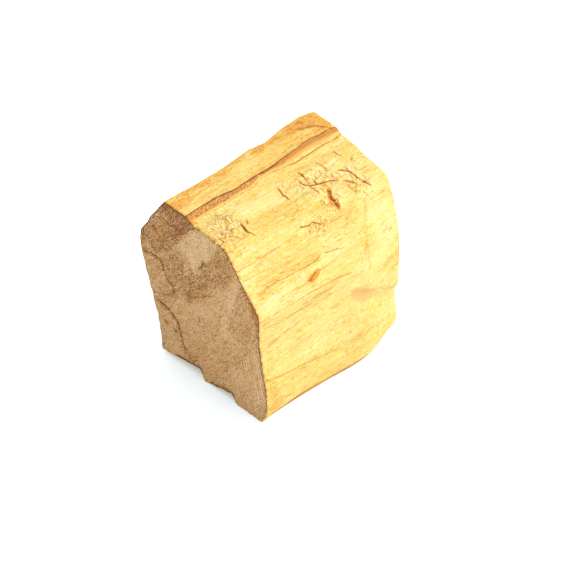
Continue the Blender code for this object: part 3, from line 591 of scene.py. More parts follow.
MARKS = ("warm", "pale_and_highlight", "stain_and_shade", "ember_and_shade", "scoop_shade", "band", "chaff", "brown", "light", "sawn")
LINE_PARTS = ("line_gap", "line_half", "line_dark")
LAYERS = MARKS + LINE_PARTS
SHARP_ANGLE = 45.0  # steeper edges of the chunk are shaded as edges
RIM_MARKS = ("brown", "light", "sawn", "stain_and_shade", "ember_and_shade")  # those of the sawn ends that their rims show
ON_END = (1, 0, 1)  # leaves out Y, so that the noise of a sawn end does not change with the depth


def stations():
    """Where along the grain the rows of points lie, closer together at the sawn ends."""
    first = RIM_ROWS[-1] + ROW_STEP / 2
    middle = np.linspace(NEAR + first, FAR - first, round((LENGTH - 2 * first) / ROW_STEP) + 1)
    rim = np.array(RIM_ROWS)
    return np.concatenate([NEAR + rim, middle, FAR - rim[::-1]])


def column_faces():
    """The split face of each side between two corners."""
    faces = []
    for name in NAMES:
        faces.append(FACES.get(name, faces[-1] if faces else None))
    return faces


def column_steps(faces):
    """How many steps each corner's curve takes, and the straight part after it, on the near end's outline."""
    lengths = np.linalg.norm(NEAR_RIB - np.roll(NEAR_RIB, -1, axis=0), axis=1)
    widths = np.array([COLUMN_STEP[face] for face in faces])
    after = np.minimum(ROUNDING, NEARLY_HALF * lengths)
    before = np.minimum(ROUNDING, NEARLY_HALF * np.roll(lengths, 1))
    straight = lengths - after - np.roll(before, -1)
    arcs = np.maximum(LEAST_ARC_STEPS, np.round((before + after) / widths)).astype(int)
    return arcs, np.maximum(1, np.round(straight / widths)).astype(int)


def corners_at(y):
    """The corners' X and Z in the cut at y."""
    before = ((y - NEAR) / (CREASE - NEAR))[:, None]
    after = (np.maximum(y - CREASE, 0.0) / (FAR - CREASE))[:, None] ** TURN_IN
    corners = np.where(before < 1, NEAR_RIB + (CREASE_RIB - NEAR_RIB) * before,
                       CREASE_RIB + (FAR_RIB - CREASE_RIB) * after)
    for name, line in WAVERS.items():
        corners[NAMES.index(name), 0] = np.interp(y, *zip(*line))
    return corners


def toward(corner, other, reach):
    """The point this far along the way to the other corner, or nearly half way where they are close."""
    way = other - corner
    return corner + way * min(NEARLY_HALF, reach / np.linalg.norm(way))


def rounded(corners, arcs, steps):
    """The outline through the corners, each one rounded by a quadratic curve."""
    points = []
    count = len(corners)
    for i in range(count):
        here, after = corners[i], corners[(i + 1) % count]
        start = toward(here, corners[i - 1], ROUNDING[i])
        end = toward(here, after, ROUNDING[i])
        for t in np.linspace(0.0, 1.0, arcs[i] + 1):
            points.append((1 - t) ** 2 * start + 2 * t * (1 - t) * here + t**2 * end)
        following = toward(after, here, ROUNDING[(i + 1) % count])
        for t in np.linspace(0.0, 1.0, steps[i] + 1)[1:-1]:
            points.append(end + (following - end) * t)
    return np.array(points)


def noise_at(points, across, along, seed):
    """Smooth noise, about -1 to 1, whose features are this long across the grain and along it."""
    scale = np.array([1 / across, 1 / along, 1 / across])
    shift = seed * np.array([17.3, 5.1, 9.7])
    return np.array([noise.noise(p) for p in (points * scale + shift).tolist()])


def smooth_step(value, low, high):
    t = np.clip((value - low) / (high - low), 0.0, 1.0)
    return t * t * (3 - 2 * t)


def gap_to(points, line, closed=False):
    """Distance in the plane from each point to the line through the given ones."""
    line = [np.array(p, float) for p in line]
    best = np.full(len(points), np.inf)
    for start, end in zip(line, line[1:] + line[:1] if closed else line[1:]):
        way = end - start
        share = np.clip(((points - start) @ way) / (way @ way), 0.0, 1.0)
        best = np.minimum(best, np.linalg.norm(points - start - share[:, None] * way, axis=1))
    return best


def smoothed(line):
    """The line with its corners cut off twice over."""
    line = np.array(line, float)
    for _ in range(2):
        before, after = line[:-1], line[1:]
        cut = np.stack([0.75 * before + 0.25 * after, 0.25 * before + 0.75 * after], axis=1)
        line = np.vstack([line[:1], cut.reshape(-1, 2), line[-1:]])
    return line


def signed_gap(points, line):
    """The distance from each point to the line, below zero on the line's right."""
    line = [np.array(p, float) for p in line]
    best = np.full(len(points), np.inf)
    for start, end in zip(line, line[1:]):
        way, offset = end - start, points - start
        share = np.clip((offset @ way) / (way @ way), 0.0, 1.0)
        gap = np.linalg.norm(offset - share[:, None] * way, axis=1)
        side = np.where(way[0] * offset[:, 1] - way[1] * offset[:, 0] < 0, -1, 1)
        best = np.where(gap < np.abs(best), gap * side, best)
    return best


def beside(places, line, reach, shift=0.0):
    """1 on the line moved this far along the grain, and fading out over this reach."""
    return np.exp(-((gap_to(places - [0.0, shift], line) / reach) ** 2))


def fresh_marks(count):
    """No marks yet at this many points."""
    marks = {name: np.zeros(count) for name in LAYERS}
    marks["line_gap"] += LINE_CLEAR
    return marks


def add_mark(marks, name, chosen, amount):
    """Raise the mark at the chosen points to this amount where it is less."""
    marks[name][chosen] = np.maximum(marks[name][chosen], amount)


def draw_gap(marks, chosen, gap, half, dark, reach=LINE_REACH):
    """Keep a line's gap, half width and darkness at those chosen points that no other line is nearer to."""
    near = np.abs(gap) < np.abs(marks["line_gap"][chosen])
    width = half * (1 - smooth_step(np.abs(gap), *reach))
    for name, value in zip(LINE_PARTS, (gap, width, np.full(len(gap), dark))):
        marks[name][chosen[near]] = value[near]


def draw_line(marks, chosen, places, line, half, dark):
    """The same for a line through these points, of an uneven width, that thins out towards its ends."""
    tips = np.minimum(np.linalg.norm(places - line[0], axis=1), np.linalg.norm(places - line[-1], axis=1))
    flat = np.column_stack([places, np.zeros(len(places))])
    uneven = 1 + LINE_UNEVEN * noise_at(flat, LINE_UNEVEN_SIZE, LINE_UNEVEN_SIZE, 36)
    taper = LINE_TIP + (1 - LINE_TIP) * smooth_step(tips, 0.0, LINE_TAPER)
    draw_gap(marks, chosen, signed_gap(places, line), half * uneven * taper, dark)


def inside(points, outline):
    """Whether each point lies within the closed outline, by counting the edges to its right."""
    outline = np.array(outline, float)
    within = np.zeros(len(points), bool)
    for a, b in zip(outline, np.roll(outline, -1, axis=0)):
        if a[1] == b[1]:
            continue
        spans = (a[1] > points[:, 1]) != (b[1] > points[:, 1])
        crossing = a[0] + (points[:, 1] - a[1]) * (b[0] - a[0]) / (b[1] - a[1])
        within ^= spans & (crossing > points[:, 0])
    return within


class Skin:
    """The split faces' points, the face that each lies on, their outward height and the marks on them."""

    def __init__(self, points, faces):
        self.points = points
        self.faces = faces
        self.height = np.zeros(len(points))
        wander = [noise_at(points, WANDER_SIZE, WANDER_SIZE * 2, seed) for seed in (31, 32)]
        self.wander = WANDER * np.column_stack(wander)
        self.marks = fresh_marks(len(points))

    def on(self, face):
        """The numbers of the points on this face, and their places as (across, Y)."""
        chosen = np.nonzero(self.faces == face)[0]
        return chosen, self.points[chosen][:, [2 if face in UPRIGHT else 0, 1]]

    def around(self, face, line, reach):
        """The same for the points of this face that lie near the line."""
        chosen, places = self.on(face)
        line = np.array(line)
        near = np.all((places > line.min(axis=0) - reach) & (places < line.max(axis=0) + reach), axis=1)
        return chosen[near], places[near]

    def mark(self, name, chosen, amount):
        add_mark(self.marks, name, chosen, amount)


def splinter_steps(points):
    """Flat-topped steps that run along the grain, from 0 down."""
    level = (noise_at(points, STEP_ACROSS, STEP_ALONG, 2) + 1) * STEPS_IN_RANGE
    rise = smooth_step(level - np.floor(level), 1 - STEP_RISE, 1.0)
    return np.floor(level) + rise - STEPS_IN_RANGE


def add_broad_relief(skin):
    """Broad lumps and the steps of the grain, calmer at the ends, on the underside and on the strip."""
    calm = np.where(skin.faces == "under", CALM_UNDER, 1.0)
    calm[(skin.faces == "upper") & (skin.points[:, 0] < STRIP_TO)] = CALM_STRIP
    from_end = FAR - np.abs(skin.points[:, 1])
    calm *= CALM_AT_END + (1 - CALM_AT_END) * smooth_step(from_end, 0.0, CALM_REACH)
    lumps = LUMP_HEIGHT * noise_at(skin.points, LUMP_ACROSS, LUMP_ALONG, 1)
    skin.height += (lumps + STEP_HEIGHT * splinter_steps(skin.points)) * calm


def add_ridges(skin):
    """Fine ridges along the grain, and the loose fuzz of the torn zones."""
    for height, across, along, seed in RIDGES:
        skin.height += height * noise_at(skin.points, across, along, seed)
    chosen, places = skin.on("upper")
    chaff = np.zeros(len(chosen))
    for x, y, reach_across, reach_along in CHAFF_ZONES:
        off = ((places[:, 0] - x) / reach_across) ** 2 + ((places[:, 1] - y) / reach_along) ** 2
        chaff = np.maximum(chaff, np.exp(-off))
    skin.mark("chaff", chosen, chaff)
    skin.height[chosen] += FUZZ_HEIGHT * chaff * noise_at(skin.points[chosen], FUZZ_SIZE, FUZZ_LENGTH, 14)


def tear_hollow(places, ragged, line, run, end):
    """The hollow at each place before a torn line, as a share of the tear's depth, how far before the line
    the place lies, and how open the tear is there, from 0 to 1."""
    across, y = places[:, 0], places[:, 1] + ragged
    back = np.interp(across, *zip(*line)) - y
    closes = smooth_step(across, line[0][0] - end, line[0][0] + end)
    closes *= 1 - smooth_step(across, line[-1][0] - end, line[-1][0] + end)
    hollow = closes * np.clip(1 - back / run, 0.0, 1.0) ** 2 * smooth_step(back, -TEAR_RISE, TEAR_RISE)
    return hollow, back, closes


def flakes():
    """Small cracks at random places in the torn zones."""
    rng = np.random.default_rng(FLAKE_SEED)
    found = []
    for x, y, reach_across, reach_along, count in FLAKE_ZONES:
        for _ in range(count):
            across, along = x + reach_across * rng.uniform(-1, 1), y + reach_along * rng.uniform(-1, 1)
            half, lean, bow = (rng.uniform(*size) for size in (FLAKE_HALF, FLAKE_LEAN, FLAKE_BOW))
            line = ((across - half, along - lean), (across, along + bow), (across + half, along + lean))
            found.append((rng.uniform(*FLAKE_LINE), line))
    return found


def add_tears(skin):
    """Torn walls: the hollow before each, its curled lip with a painted highlight past it, a painted orange
    shade over the wall and the hollow it shadows, a painted warmer tone in that hollow, and its dark line.
    """
    ragged = sum(reach * noise_at(skin.points, size, RAGGED_ALONG, 21) for reach, size in RAGGED)
    uneven = noise_at(skin.points, TEAR_UNEVEN_SIZE, TEAR_UNEVEN_SIZE, 37)
    uneven = np.maximum(THINNEST, 1 + TEAR_UNEVEN * uneven)
    for face, line, depth, run in TEARS:
        chosen, places = skin.on(face)
        small = min(1.0, depth / FULL_TEAR)
        hollow, back, closes = tear_hollow(places, ragged[chosen] * small, line, run, TEAR_END * small)
        lip = closes * np.exp(-(((back + LIP_REACH) / LIP_FADE) ** 2))
        skin.height[chosen] += depth * (LIP_HEIGHT * lip - hollow)
        # a painted highlight on the lit lip past the torn wall
        skin.mark("pale_and_highlight", chosen, TEAR_HIGHLIGHT * closes * np.exp(-(((back + HIGHLIGHT_PAST) / LIP_FADE) ** 2)))
        # painted orange shade over the torn wall and over the hollow in its shadow
        shade = closes * smooth_step(back, -LIP_REACH, -0.1)
        shade *= 1 - smooth_step(back, TEAR_SHADE[0] * depth, TEAR_SHADE[1] * depth + 0.1)
        skin.mark("ember_and_shade", chosen, min(TEAR_MOST_PAINTED_SHADE, TEAR_PAINTED_SHADE * depth) * np.sqrt(shade))
        # a warmer tone painted in the hollow, for the warm shade inside it
        skin.mark("warm", chosen, TEAR_WARM_SHADE * hollow)
        wall = closes > TEAR_SHOWN
        half = TEAR_LINE * small * closes[wall] * uneven[chosen[wall]]
        draw_gap(skin.marks, chosen[wall], back[wall] - LINE_BEFORE, half, DARK_LINE)


def add_cracks(skin):
    """Cracks whose near side has dropped and whose far side has curled up a little, with a painted orange
    shade at the crack and a painted highlight past it.
    """
    for half, line in CRACKS + tuple(flakes()):
        line = smoothed(line)
        chosen, places = skin.around("upper", line, CRACK_AROUND)
        places = places + skin.wander[chosen]
        drop, rise, ember_and_shade, pale_and_highlight = (beside(places, line, CRACK_SPREAD, at) for at in CRACK_SHIFTS)
        skin.height[chosen] += half * (CRACK_RISE * rise - CRACK_DROP * drop)
        bold = half > BOLD_CRACK
        strength = min(MOST_PAINTED_SHADE, CRACK_PAINTED_SHADE * half) * (1.0 if bold else FINE_PAINTED_SHADE)
        # a painted orange shade at the crack, and a painted highlight on the wood past it
        skin.mark("ember_and_shade", chosen, strength * ember_and_shade)
        skin.mark("pale_and_highlight", chosen, CRACK_HIGHLIGHT * pale_and_highlight)
        draw_line(skin.marks, chosen, places, line, CRACK_LINE * half, DARK_LINE if bold else PALE_LINE)


def add_ledges(skin):
    """The steps that lifted splinters left along the grain."""
    for face, line, height, reach in LEDGES:
        chosen, places = skin.on(face)
        y = places[:, 1]
        off = (places[:, 0] - np.interp(y, *zip(*line))) * np.sign(reach)
        lowered = smooth_step(off, -LEDGE_RISE, LEDGE_RISE) * np.exp(-np.maximum(off, 0.0) / abs(reach))
        shown = smooth_step(y, line[0][0], line[0][0] + LEDGE_END)
        shown *= 1 - smooth_step(y, line[-1][0] - LEDGE_END, line[-1][0])
        skin.height[chosen] -= height * lowered * shown


def add_scoop(skin):
    chosen, places = skin.on("right")
    z, y = places[:, 0], places[:, 1]
    off = z - np.interp(y, *zip(*SCOOP_LINE))
    bowl = np.exp(-((off / np.where(off > 0, SCOOP_ABOVE, SCOOP_BELOW)) ** 2))
    bowl *= smooth_step(y, SCOOP_LINE[0][0], SCOOP_LINE[0][0] + SCOOP_OPENING)
    skin.height[chosen] -= SCOOP_DEPTH * bowl


def add_knot(skin):
    offset = skin.points - np.array(KNOT)
    along = offset[:, 1] / KNOT_ALONG
    off = np.linalg.norm(offset[:, [0, 2]], axis=1) / KNOT_ACROSS
    skin.height += KNOT_HEIGHT * np.exp(-(along**2) - off**2)


def add_lines(skin):
    """Lines and streaks, each with its groove."""
    for (name, face), lines in LINES.items():
        chosen, places = skin.on(face)
        places = places + skin.wander[chosen]
        for strength, half, depth, line in lines:
            line = smoothed(line)
            groove = beside(places, line, half)
            skin.height[chosen] -= depth * groove
            if name == "line":
                draw_line(skin.marks, chosen, places, line, half, strength)
            else:
                skin.mark(name, chosen, strength * groove)


def add_zones(skin):
    """Broad marks with ragged edges."""
    ragged = ZONE_RAGGED * noise_at(skin.points, ZONE_RAGGED_ACROSS, ZONE_RAGGED_ALONG, 33)
    for (name, face), zones in ZONES.items():
        chosen, places = skin.on(face)
        for strength, across, along, reach_across, reach_along in zones:
            off = np.hypot((places[:, 0] - across) / reach_across, (places[:, 1] - along) / reach_along)
            skin.mark(name, chosen, strength * (1 - smooth_step(off + ragged[chosen], *ZONE_EDGE)))


def add_patches(skin):
    for name, face, strength, softness, area in PATCHES:
        chosen, places = skin.on(face)
        places = places + skin.wander[chosen]
        gap = np.where(inside(places, area), 1, -1) * gap_to(places, area, True)
        skin.mark(name, chosen, strength * smooth_step(gap, -softness, softness))


def add_band(skin):
    """The dark band along the upper face, which the shader gives fine ribs across it."""
    chosen, places = skin.on("upper")
    x, y = places[:, 0], places[:, 1]
    head, foot = (np.interp(y, *zip(*WAVERS[name])) for name in ("band_head", "band_foot"))
    band = smooth_step(x, head - BAND_RISE, head)
    band *= 1 - smooth_step(x, foot + BAND_FALL[0], foot + BAND_FALL[1])
    past = smooth_step(y, *BAND_PARTS)
    parted = past * smooth_step(x - head, *BAND_HEAD)
    skin.mark("band", chosen, band * (1 - BAND_FADED * parted) * (1 - BAND_SMOOTH * past))


def add_rim(skin):
    """The brown tinge of the split faces beside the near end, and its dark lines, part of them painted shade
    at the rim and painted shadow in the gaps under the chunk.
    """
    from_end = skin.points[:, 1] - NEAR
    patchy = smooth_step(noise_at(skin.points, RIM_PATCH, RIM_PATCH, 35), *RIM_PATCHY)
    every = np.arange(len(skin.points))
    skin.mark("warm", every, RIM_WARM * patchy * np.clip(1 - from_end / RIM_TINGE, 0.0, 1.0))
    skin.mark("stain_and_shade", every, patchy * np.clip(1 - from_end / RIM_STAIN, 0.0, 1.0))
    near_end = np.nonzero(from_end < LINE_CLEAR)[0]
    for half, line in RIM_LINES_AND_SHADOWS:
        half = half * smooth_step(gap_to(skin.points[near_end][:, [0, 2]], line), *RIM_BESIDE)
        chosen = half > NO_LINE
        draw_gap(skin.marks, near_end[chosen], from_end[near_end][chosen], RIM_TURN * half[chosen], DARK_LINE)


def end_wear(points):
    """How far the rim stands back beside a sawn end, with a bite here and there."""
    from_end = FAR - np.abs(points[:, 1])
    nearness = np.maximum(0.0, 1 - from_end / EDGE_REACH) ** 2
    chips = np.maximum(noise_at(points, CHIP_SIZE, CHIP_SIZE, 3), 0.0) * EDGE_CHIPS
    chips += np.maximum(noise_at(points, FINE_CHIP_SIZE, FINE_CHIP_SIZE, 4), 0.0) * FINE_CHIPS
    return (EDGE_WEAR + chips) * nearness


def split_faces():
    """The split faces' points, as rows along the grain, and their marks."""
    faces = column_faces()
    arcs, steps = column_steps(faces)
    columns = np.repeat(faces, arcs + steps)
    rows, outward = [], []
    for y in stations():
        outline = rounded(corners_at(y), arcs, steps)
        tangent = np.roll(outline, -1, axis=0) - np.roll(outline, 1, axis=0)
        across = np.stack([tangent[:, 1], np.zeros(len(outline)), -tangent[:, 0]], axis=1)
        outward.append(across / np.linalg.norm(across, axis=1)[:, None])
        rows.append(np.column_stack([outline[:, 0], np.full(len(outline), y), outline[:, 1]]))
    shape = (len(rows), len(columns))
    skin = Skin(np.concatenate(rows), np.tile(columns, len(rows)))
    add_broad_relief(skin)
    add_knot(skin)
    add_scoop(skin)
    add_ledges(skin)
    add_tears(skin)
    add_cracks(skin)
    add_lines(skin)
    add_zones(skin)
    add_patches(skin)
    add_band(skin)
    add_rim(skin)
    add_ridges(skin)
    height = skin.height - end_wear(skin.points)
    points = skin.points + np.concatenate(outward) * height[:, None]
    points[:, 2] = np.where(points[:, 2] < FLOOR_LAND, 0.0, points[:, 2])
    return points.reshape(*shape, 3), columns, skin.marks


def end_relief(places, cracks, side):
    """How deep the saw and the cracks cut into a sawn end at each X, Z."""
    flat = np.column_stack([places[:, 0], np.zeros(len(places)), places[:, 1]])
    depth = END_FUZZ * (1 + noise_at(flat, END_FUZZ_SIZE, 1.0, 5)) / 2
    saw = np.sin(2 * np.pi * (places[:, 0] + SAW_LEAN * places[:, 1]) / SAW_SPACING)
    depth += SAW_DEPTH[side] * (saw + 1) / 2
    for crack in cracks:
        depth += CRACK_DEPTH * np.clip(1 - gap_to(places, crack) / CRACK_HALF_WIDTH, 0.0, 1.0)
    return depth


def points_along(line, step):
    """Points every step of the way along the line, with the direction of the line there."""
    for start, end in zip(np.array(line[:-1]), np.array(line[1:])):
        way = end - start
        count = max(1, round(np.linalg.norm(way) / step))
        for i in range(count):
            yield start + way * (i / count), way / np.linalg.norm(way)


def end_places(outline, cracks, step, seed):
    """X, Z of the points inside a sawn end: close along the cracks, and on a shaken grid elsewhere."""
    found = []
    for crack in cracks:
        for place, way in points_along(crack, CRACK_STEP):
            aside = np.array([-way[1], way[0]]) * CRACK_HALF_WIDTH
            found += [place, place + aside, place - aside]
    across, up = (np.arange(low, high, step) for low, high in zip(outline.min(axis=0), outline.max(axis=0)))
    grid = np.array([(x, z) for x in across for z in up])
    grid += np.random.default_rng(seed).uniform(-STEP_SHAKE, STEP_SHAKE, grid.shape) * step
    clear = inside(grid, outline) & (gap_to(grid, outline, True) > step * STEP_CLEAR)
    for crack in cracks:
        clear &= gap_to(grid, crack) > CRACK_HALF_WIDTH + step * STEP_CLEAR
    found = np.array(found)
    kept = inside(found, outline) & (gap_to(found, outline, True) > RIM_CLEAR)
    return np.concatenate([found[kept], grid[clear]])


def sawn_end(outline, cracks, side):
    """The points inside a sawn end as X, depth, Z, and its triangles, counted through the outline first."""
    places = end_places(outline, cracks, END_STEP[side], END_SEED[side])
    count = len(outline)
    flat = [Vector(p) for p in outline] + [Vector(p) for p in places]
    edges = [(i, (i + 1) % count) for i in range(count)]
    _, _, triangles, origin, _, _ = geometry.delaunay_2d_cdt(flat, edges, [], 1, TOO_CLOSE)
    depth = end_relief(places, cracks, side) * smooth_step(gap_to(places, outline, True), 0.0, END_RISE)
    points = np.column_stack([places[:, 0], depth, places[:, 1]])
    return points, [[origin[v][0] for v in triangle] for triangle in triangles]


def end_marks(points, outline):
    """The marks of the near sawn end at each point."""
    marks = fresh_marks(len(points))
    every = np.arange(len(points))
    flat = points[:, [0, 2]]
    wander = [noise_at(points * ON_END, END_WANDER_SIZE, 1.0, seed) for seed in (61, 62)]
    places = flat + END_WANDER * np.column_stack(wander)
    for half, line in END_LINES:
        line = smoothed(line)
        draw_line(marks, every, places, line, half, 1.0 if half > END_BOLD else THIN_DARK)
        # brown beside each line, partly painted shade beside the cracks
        add_mark(marks, "brown", every, HALO_BROWN * half * beside(places, line, LINE_HALO))
    for name, spots in END_SPOTS.items():
        for half, line in spots:
            add_mark(marks, name, every, beside(places, smoothed(line), half))
    to_rim = gap_to(flat, outline, True)
    uneven = 1 + noise_at(points * ON_END, RIM_UNEVEN_SIZE, 1.0, 64)
    for half, line in RIM_LINES_AND_SHADOWS:
        half = half * uneven * smooth_step(gap_to(flat, line), *RIM_BESIDE)
        chosen = np.nonzero(half > NO_LINE)[0]
        draw_gap(marks, chosen, to_rim[chosen], half[chosen], 1.0, RIM_REACH)
    for name, areas in END_AREAS.items():
        for strength, area in areas:
            gap = np.where(inside(places, area), 1, -1) * gap_to(places, area, True)
            add_mark(marks, name, every, strength * smooth_step(gap, -PATCH_BLUR, PATCH_BLUR))
    rim = np.clip(1 - gap_to(places, outline, True) / END_RIM, 0.0, 1.0)
    rim *= smooth_step(places[:, 0] + places[:, 1], *END_RIM_FROM)
    add_mark(marks, "brown", every, END_RIM_BROWN * rim)
    add_mark(marks, "stain_and_shade", every, END_RIM_STAIN * rim)
    return marks


def far_marks(points, _):
    """The marks of the far sawn end: its cracks, and stains round them."""
    marks = fresh_marks(len(points))
    every = np.arange(len(points))
    wander = [noise_at(points * ON_END, FAR_WANDER_SIZE, 1.0, seed) for seed in (65, 66)]
    places = points[:, [0, 2]] + FAR_WANDER * np.column_stack(wander)
    for crack in FAR_CRACKS:
        draw_line(marks, every, places, smoothed(crack), FAR_LINE, FAR_DARK)
        add_mark(marks, "brown", every, FAR_BROWN * beside(places, crack, FAR_HALO))
    marks["light"] = smooth_step(noise_at(points * ON_END, FAR_PATCH, 1.0, 63), 0.0, 0.5)
    marks["sawn"] = np.full(len(points), FAR_SAWN)
    return marks


def place_on(rows, columns, face, across, y):
    """The point of a split face nearest to this place, and the direction out of the face there."""
    row = np.abs(rows[:, 0, 1] - y).argmin()
    numbers = np.nonzero(columns == face)[0]
    column = numbers[np.abs(rows[row, numbers, 2 if face in UPRIGHT else 0] - across).argmin()]
    around = rows[row, (column + 1) % len(columns)] - rows[row, column - 1]
    outward = np.array([around[2], 0.0, -around[0]])
    return rows[row, column], outward / np.linalg.norm(outward)


def fibre(rng, root, outward, way):
    """The points of one torn fibre, in rings of four from its root to its tip."""
    length, width, thickness = (rng.uniform(*size) for size in (FIBRE_LENGTH, FIBRE_WIDTH, FIBRE_THICKNESS))
    lift, curl = (rng.uniform(*share) * length for share in (FIBRE_LIFT, FIBRE_CURL))
    grain = np.array([0.0, way, 0.0])
    aside = np.cross(grain, outward)
    points = []
    for t in FIBRE_RINGS:
        middle = root + grain * length * t + outward * (lift * t**1.6 - FIBRE_ROOT) + aside * curl * t**2
        half = aside * width * (1 - FIBRE_NARROWS * t**1.5) / 2
        rise = outward * thickness * (1 - FIBRE_THINS * t) / 2
        points += [middle - half - rise, middle + half - rise, middle + half + rise, middle - half + rise]
    return points


def fibre_roots(rng, rows, columns):
    """Where the torn fibres are rooted, the direction out of the face there, and the way that they point."""
    for face, centre, reach, count, way in FIBRE_ZONES:
        for _ in range(count):
            across, y = (centre[i] + reach[i] * rng.uniform(-1, 1) for i in (0, 1))
            yield *place_on(rows, columns, face, across, y), way or rng.choice((-1, 1))
    for face, line, _, _ in TEARS:
        for _ in range(round(WALL_FIBRES * (line[-1][0] - line[0][0]))):
            across = rng.uniform(line[0][0], line[-1][0])
            y = np.interp(across, *zip(*line)) + rng.uniform(*WALL_BACK)
            yield *place_on(rows, columns, face, across, y), -1


def tube(first, rings, count):
    """The quads between rings of this many points, which are numbered one after the other from the first."""
    faces = []
    for start in range(first, first + (rings - 1) * count, count):
        around = [(start + i, start + (i + 1) % count) for i in range(count)]
        faces += [(a, b, b + count, a + count) for a, b in around]
    return faces


def mesh_of(name, points, faces):
    """A mesh of these points, which are moved and scaled into the frame."""
    mesh = bpy.data.meshes.new(name)
    mesh.from_pydata(((np.array(points) + [SHIFT, 0.0, 0.0]) * MM).tolist(), [], faces)
    return mesh


def fibre_mesh(rows, columns):
    """All the torn fibres as one mesh of closed slivers, without those that would reach below the floor."""
    rng = np.random.default_rng(FIBRE_SEED)
    points, faces, pale_and_highlight = [], [], []
    for root, outward, way in fibre_roots(rng, rows, columns):
        first = len(points)
        grown = fibre(rng, root, outward, way)
        if min(point[2] for point in grown) < 0:
            continue
        points += grown
        pale_and_highlight += [rng.uniform(0.0, MOST_PALE)] * len(grown)
        faces += tube(first, len(FIBRE_RINGS), 4)
        faces += [(first + 3, first + 2, first + 1, first), tuple(range(len(points) - 4, len(points)))]
    mesh = mesh_of("torn_fibres", points, faces)
    mesh.attributes.new("pale_and_highlight", "FLOAT", "POINT").data.foreach_set("value", pale_and_highlight)
    return mesh


def mark_rim(marks, on_rim, rim):
    """Show the marks of a sawn end on the points of its rim too."""
    for name in RIM_MARKS:
        add_mark(marks, name, on_rim, rim[name])
    bolder = rim["line_half"] > marks["line_half"][on_rim]
    for name in LINE_PARTS:
        marks[name][on_rim] = np.where(bolder, rim[name], marks[name][on_rim])


def chunk_mesh(rows, marks):
    """The whole chunk as one closed mesh, with its marks as attributes."""
    count = rows.shape[1]
    points, faces = [rows.reshape(-1, 3)], tube(0, len(rows), count)
    split_count, point_count = len(faces), len(points[0])
    for side, row, cracks, marks_at, y, inward in (("near", 0, NEAR_CRACKS, end_marks, NEAR, 1),
                                                   ("far", len(rows) - 1, FAR_CRACKS, far_marks, FAR, -1)):
        outline = rows[row][:, [0, 2]]
        added, triangles = sawn_end(outline, cracks, side)
        added[:, 1] = y + inward * added[:, 1]
        first, start = row * count, point_count - count
        faces += [tuple(first + v if v < count else start + v for v in triangle) for triangle in triangles]
        points.append(added)
        point_count += len(added)
        mark_rim(marks, slice(first, first + count), marks_at(rows[row], outline))
        extra = marks_at(added, outline)
        marks = {name: np.concatenate([marks[name], extra[name]]) for name in LAYERS}
    mesh = mesh_of("split_block", np.concatenate(points), faces)
    for name in LAYERS:
        layer = mesh.attributes.new(name, "FLOAT", "POINT")
        layer.data.foreach_set("value", marks[name].astype(np.float32))
    sawn = np.arange(len(faces)) >= split_count
    mesh.polygons.foreach_set("material_index", sawn.astype(np.int32))
    return mesh


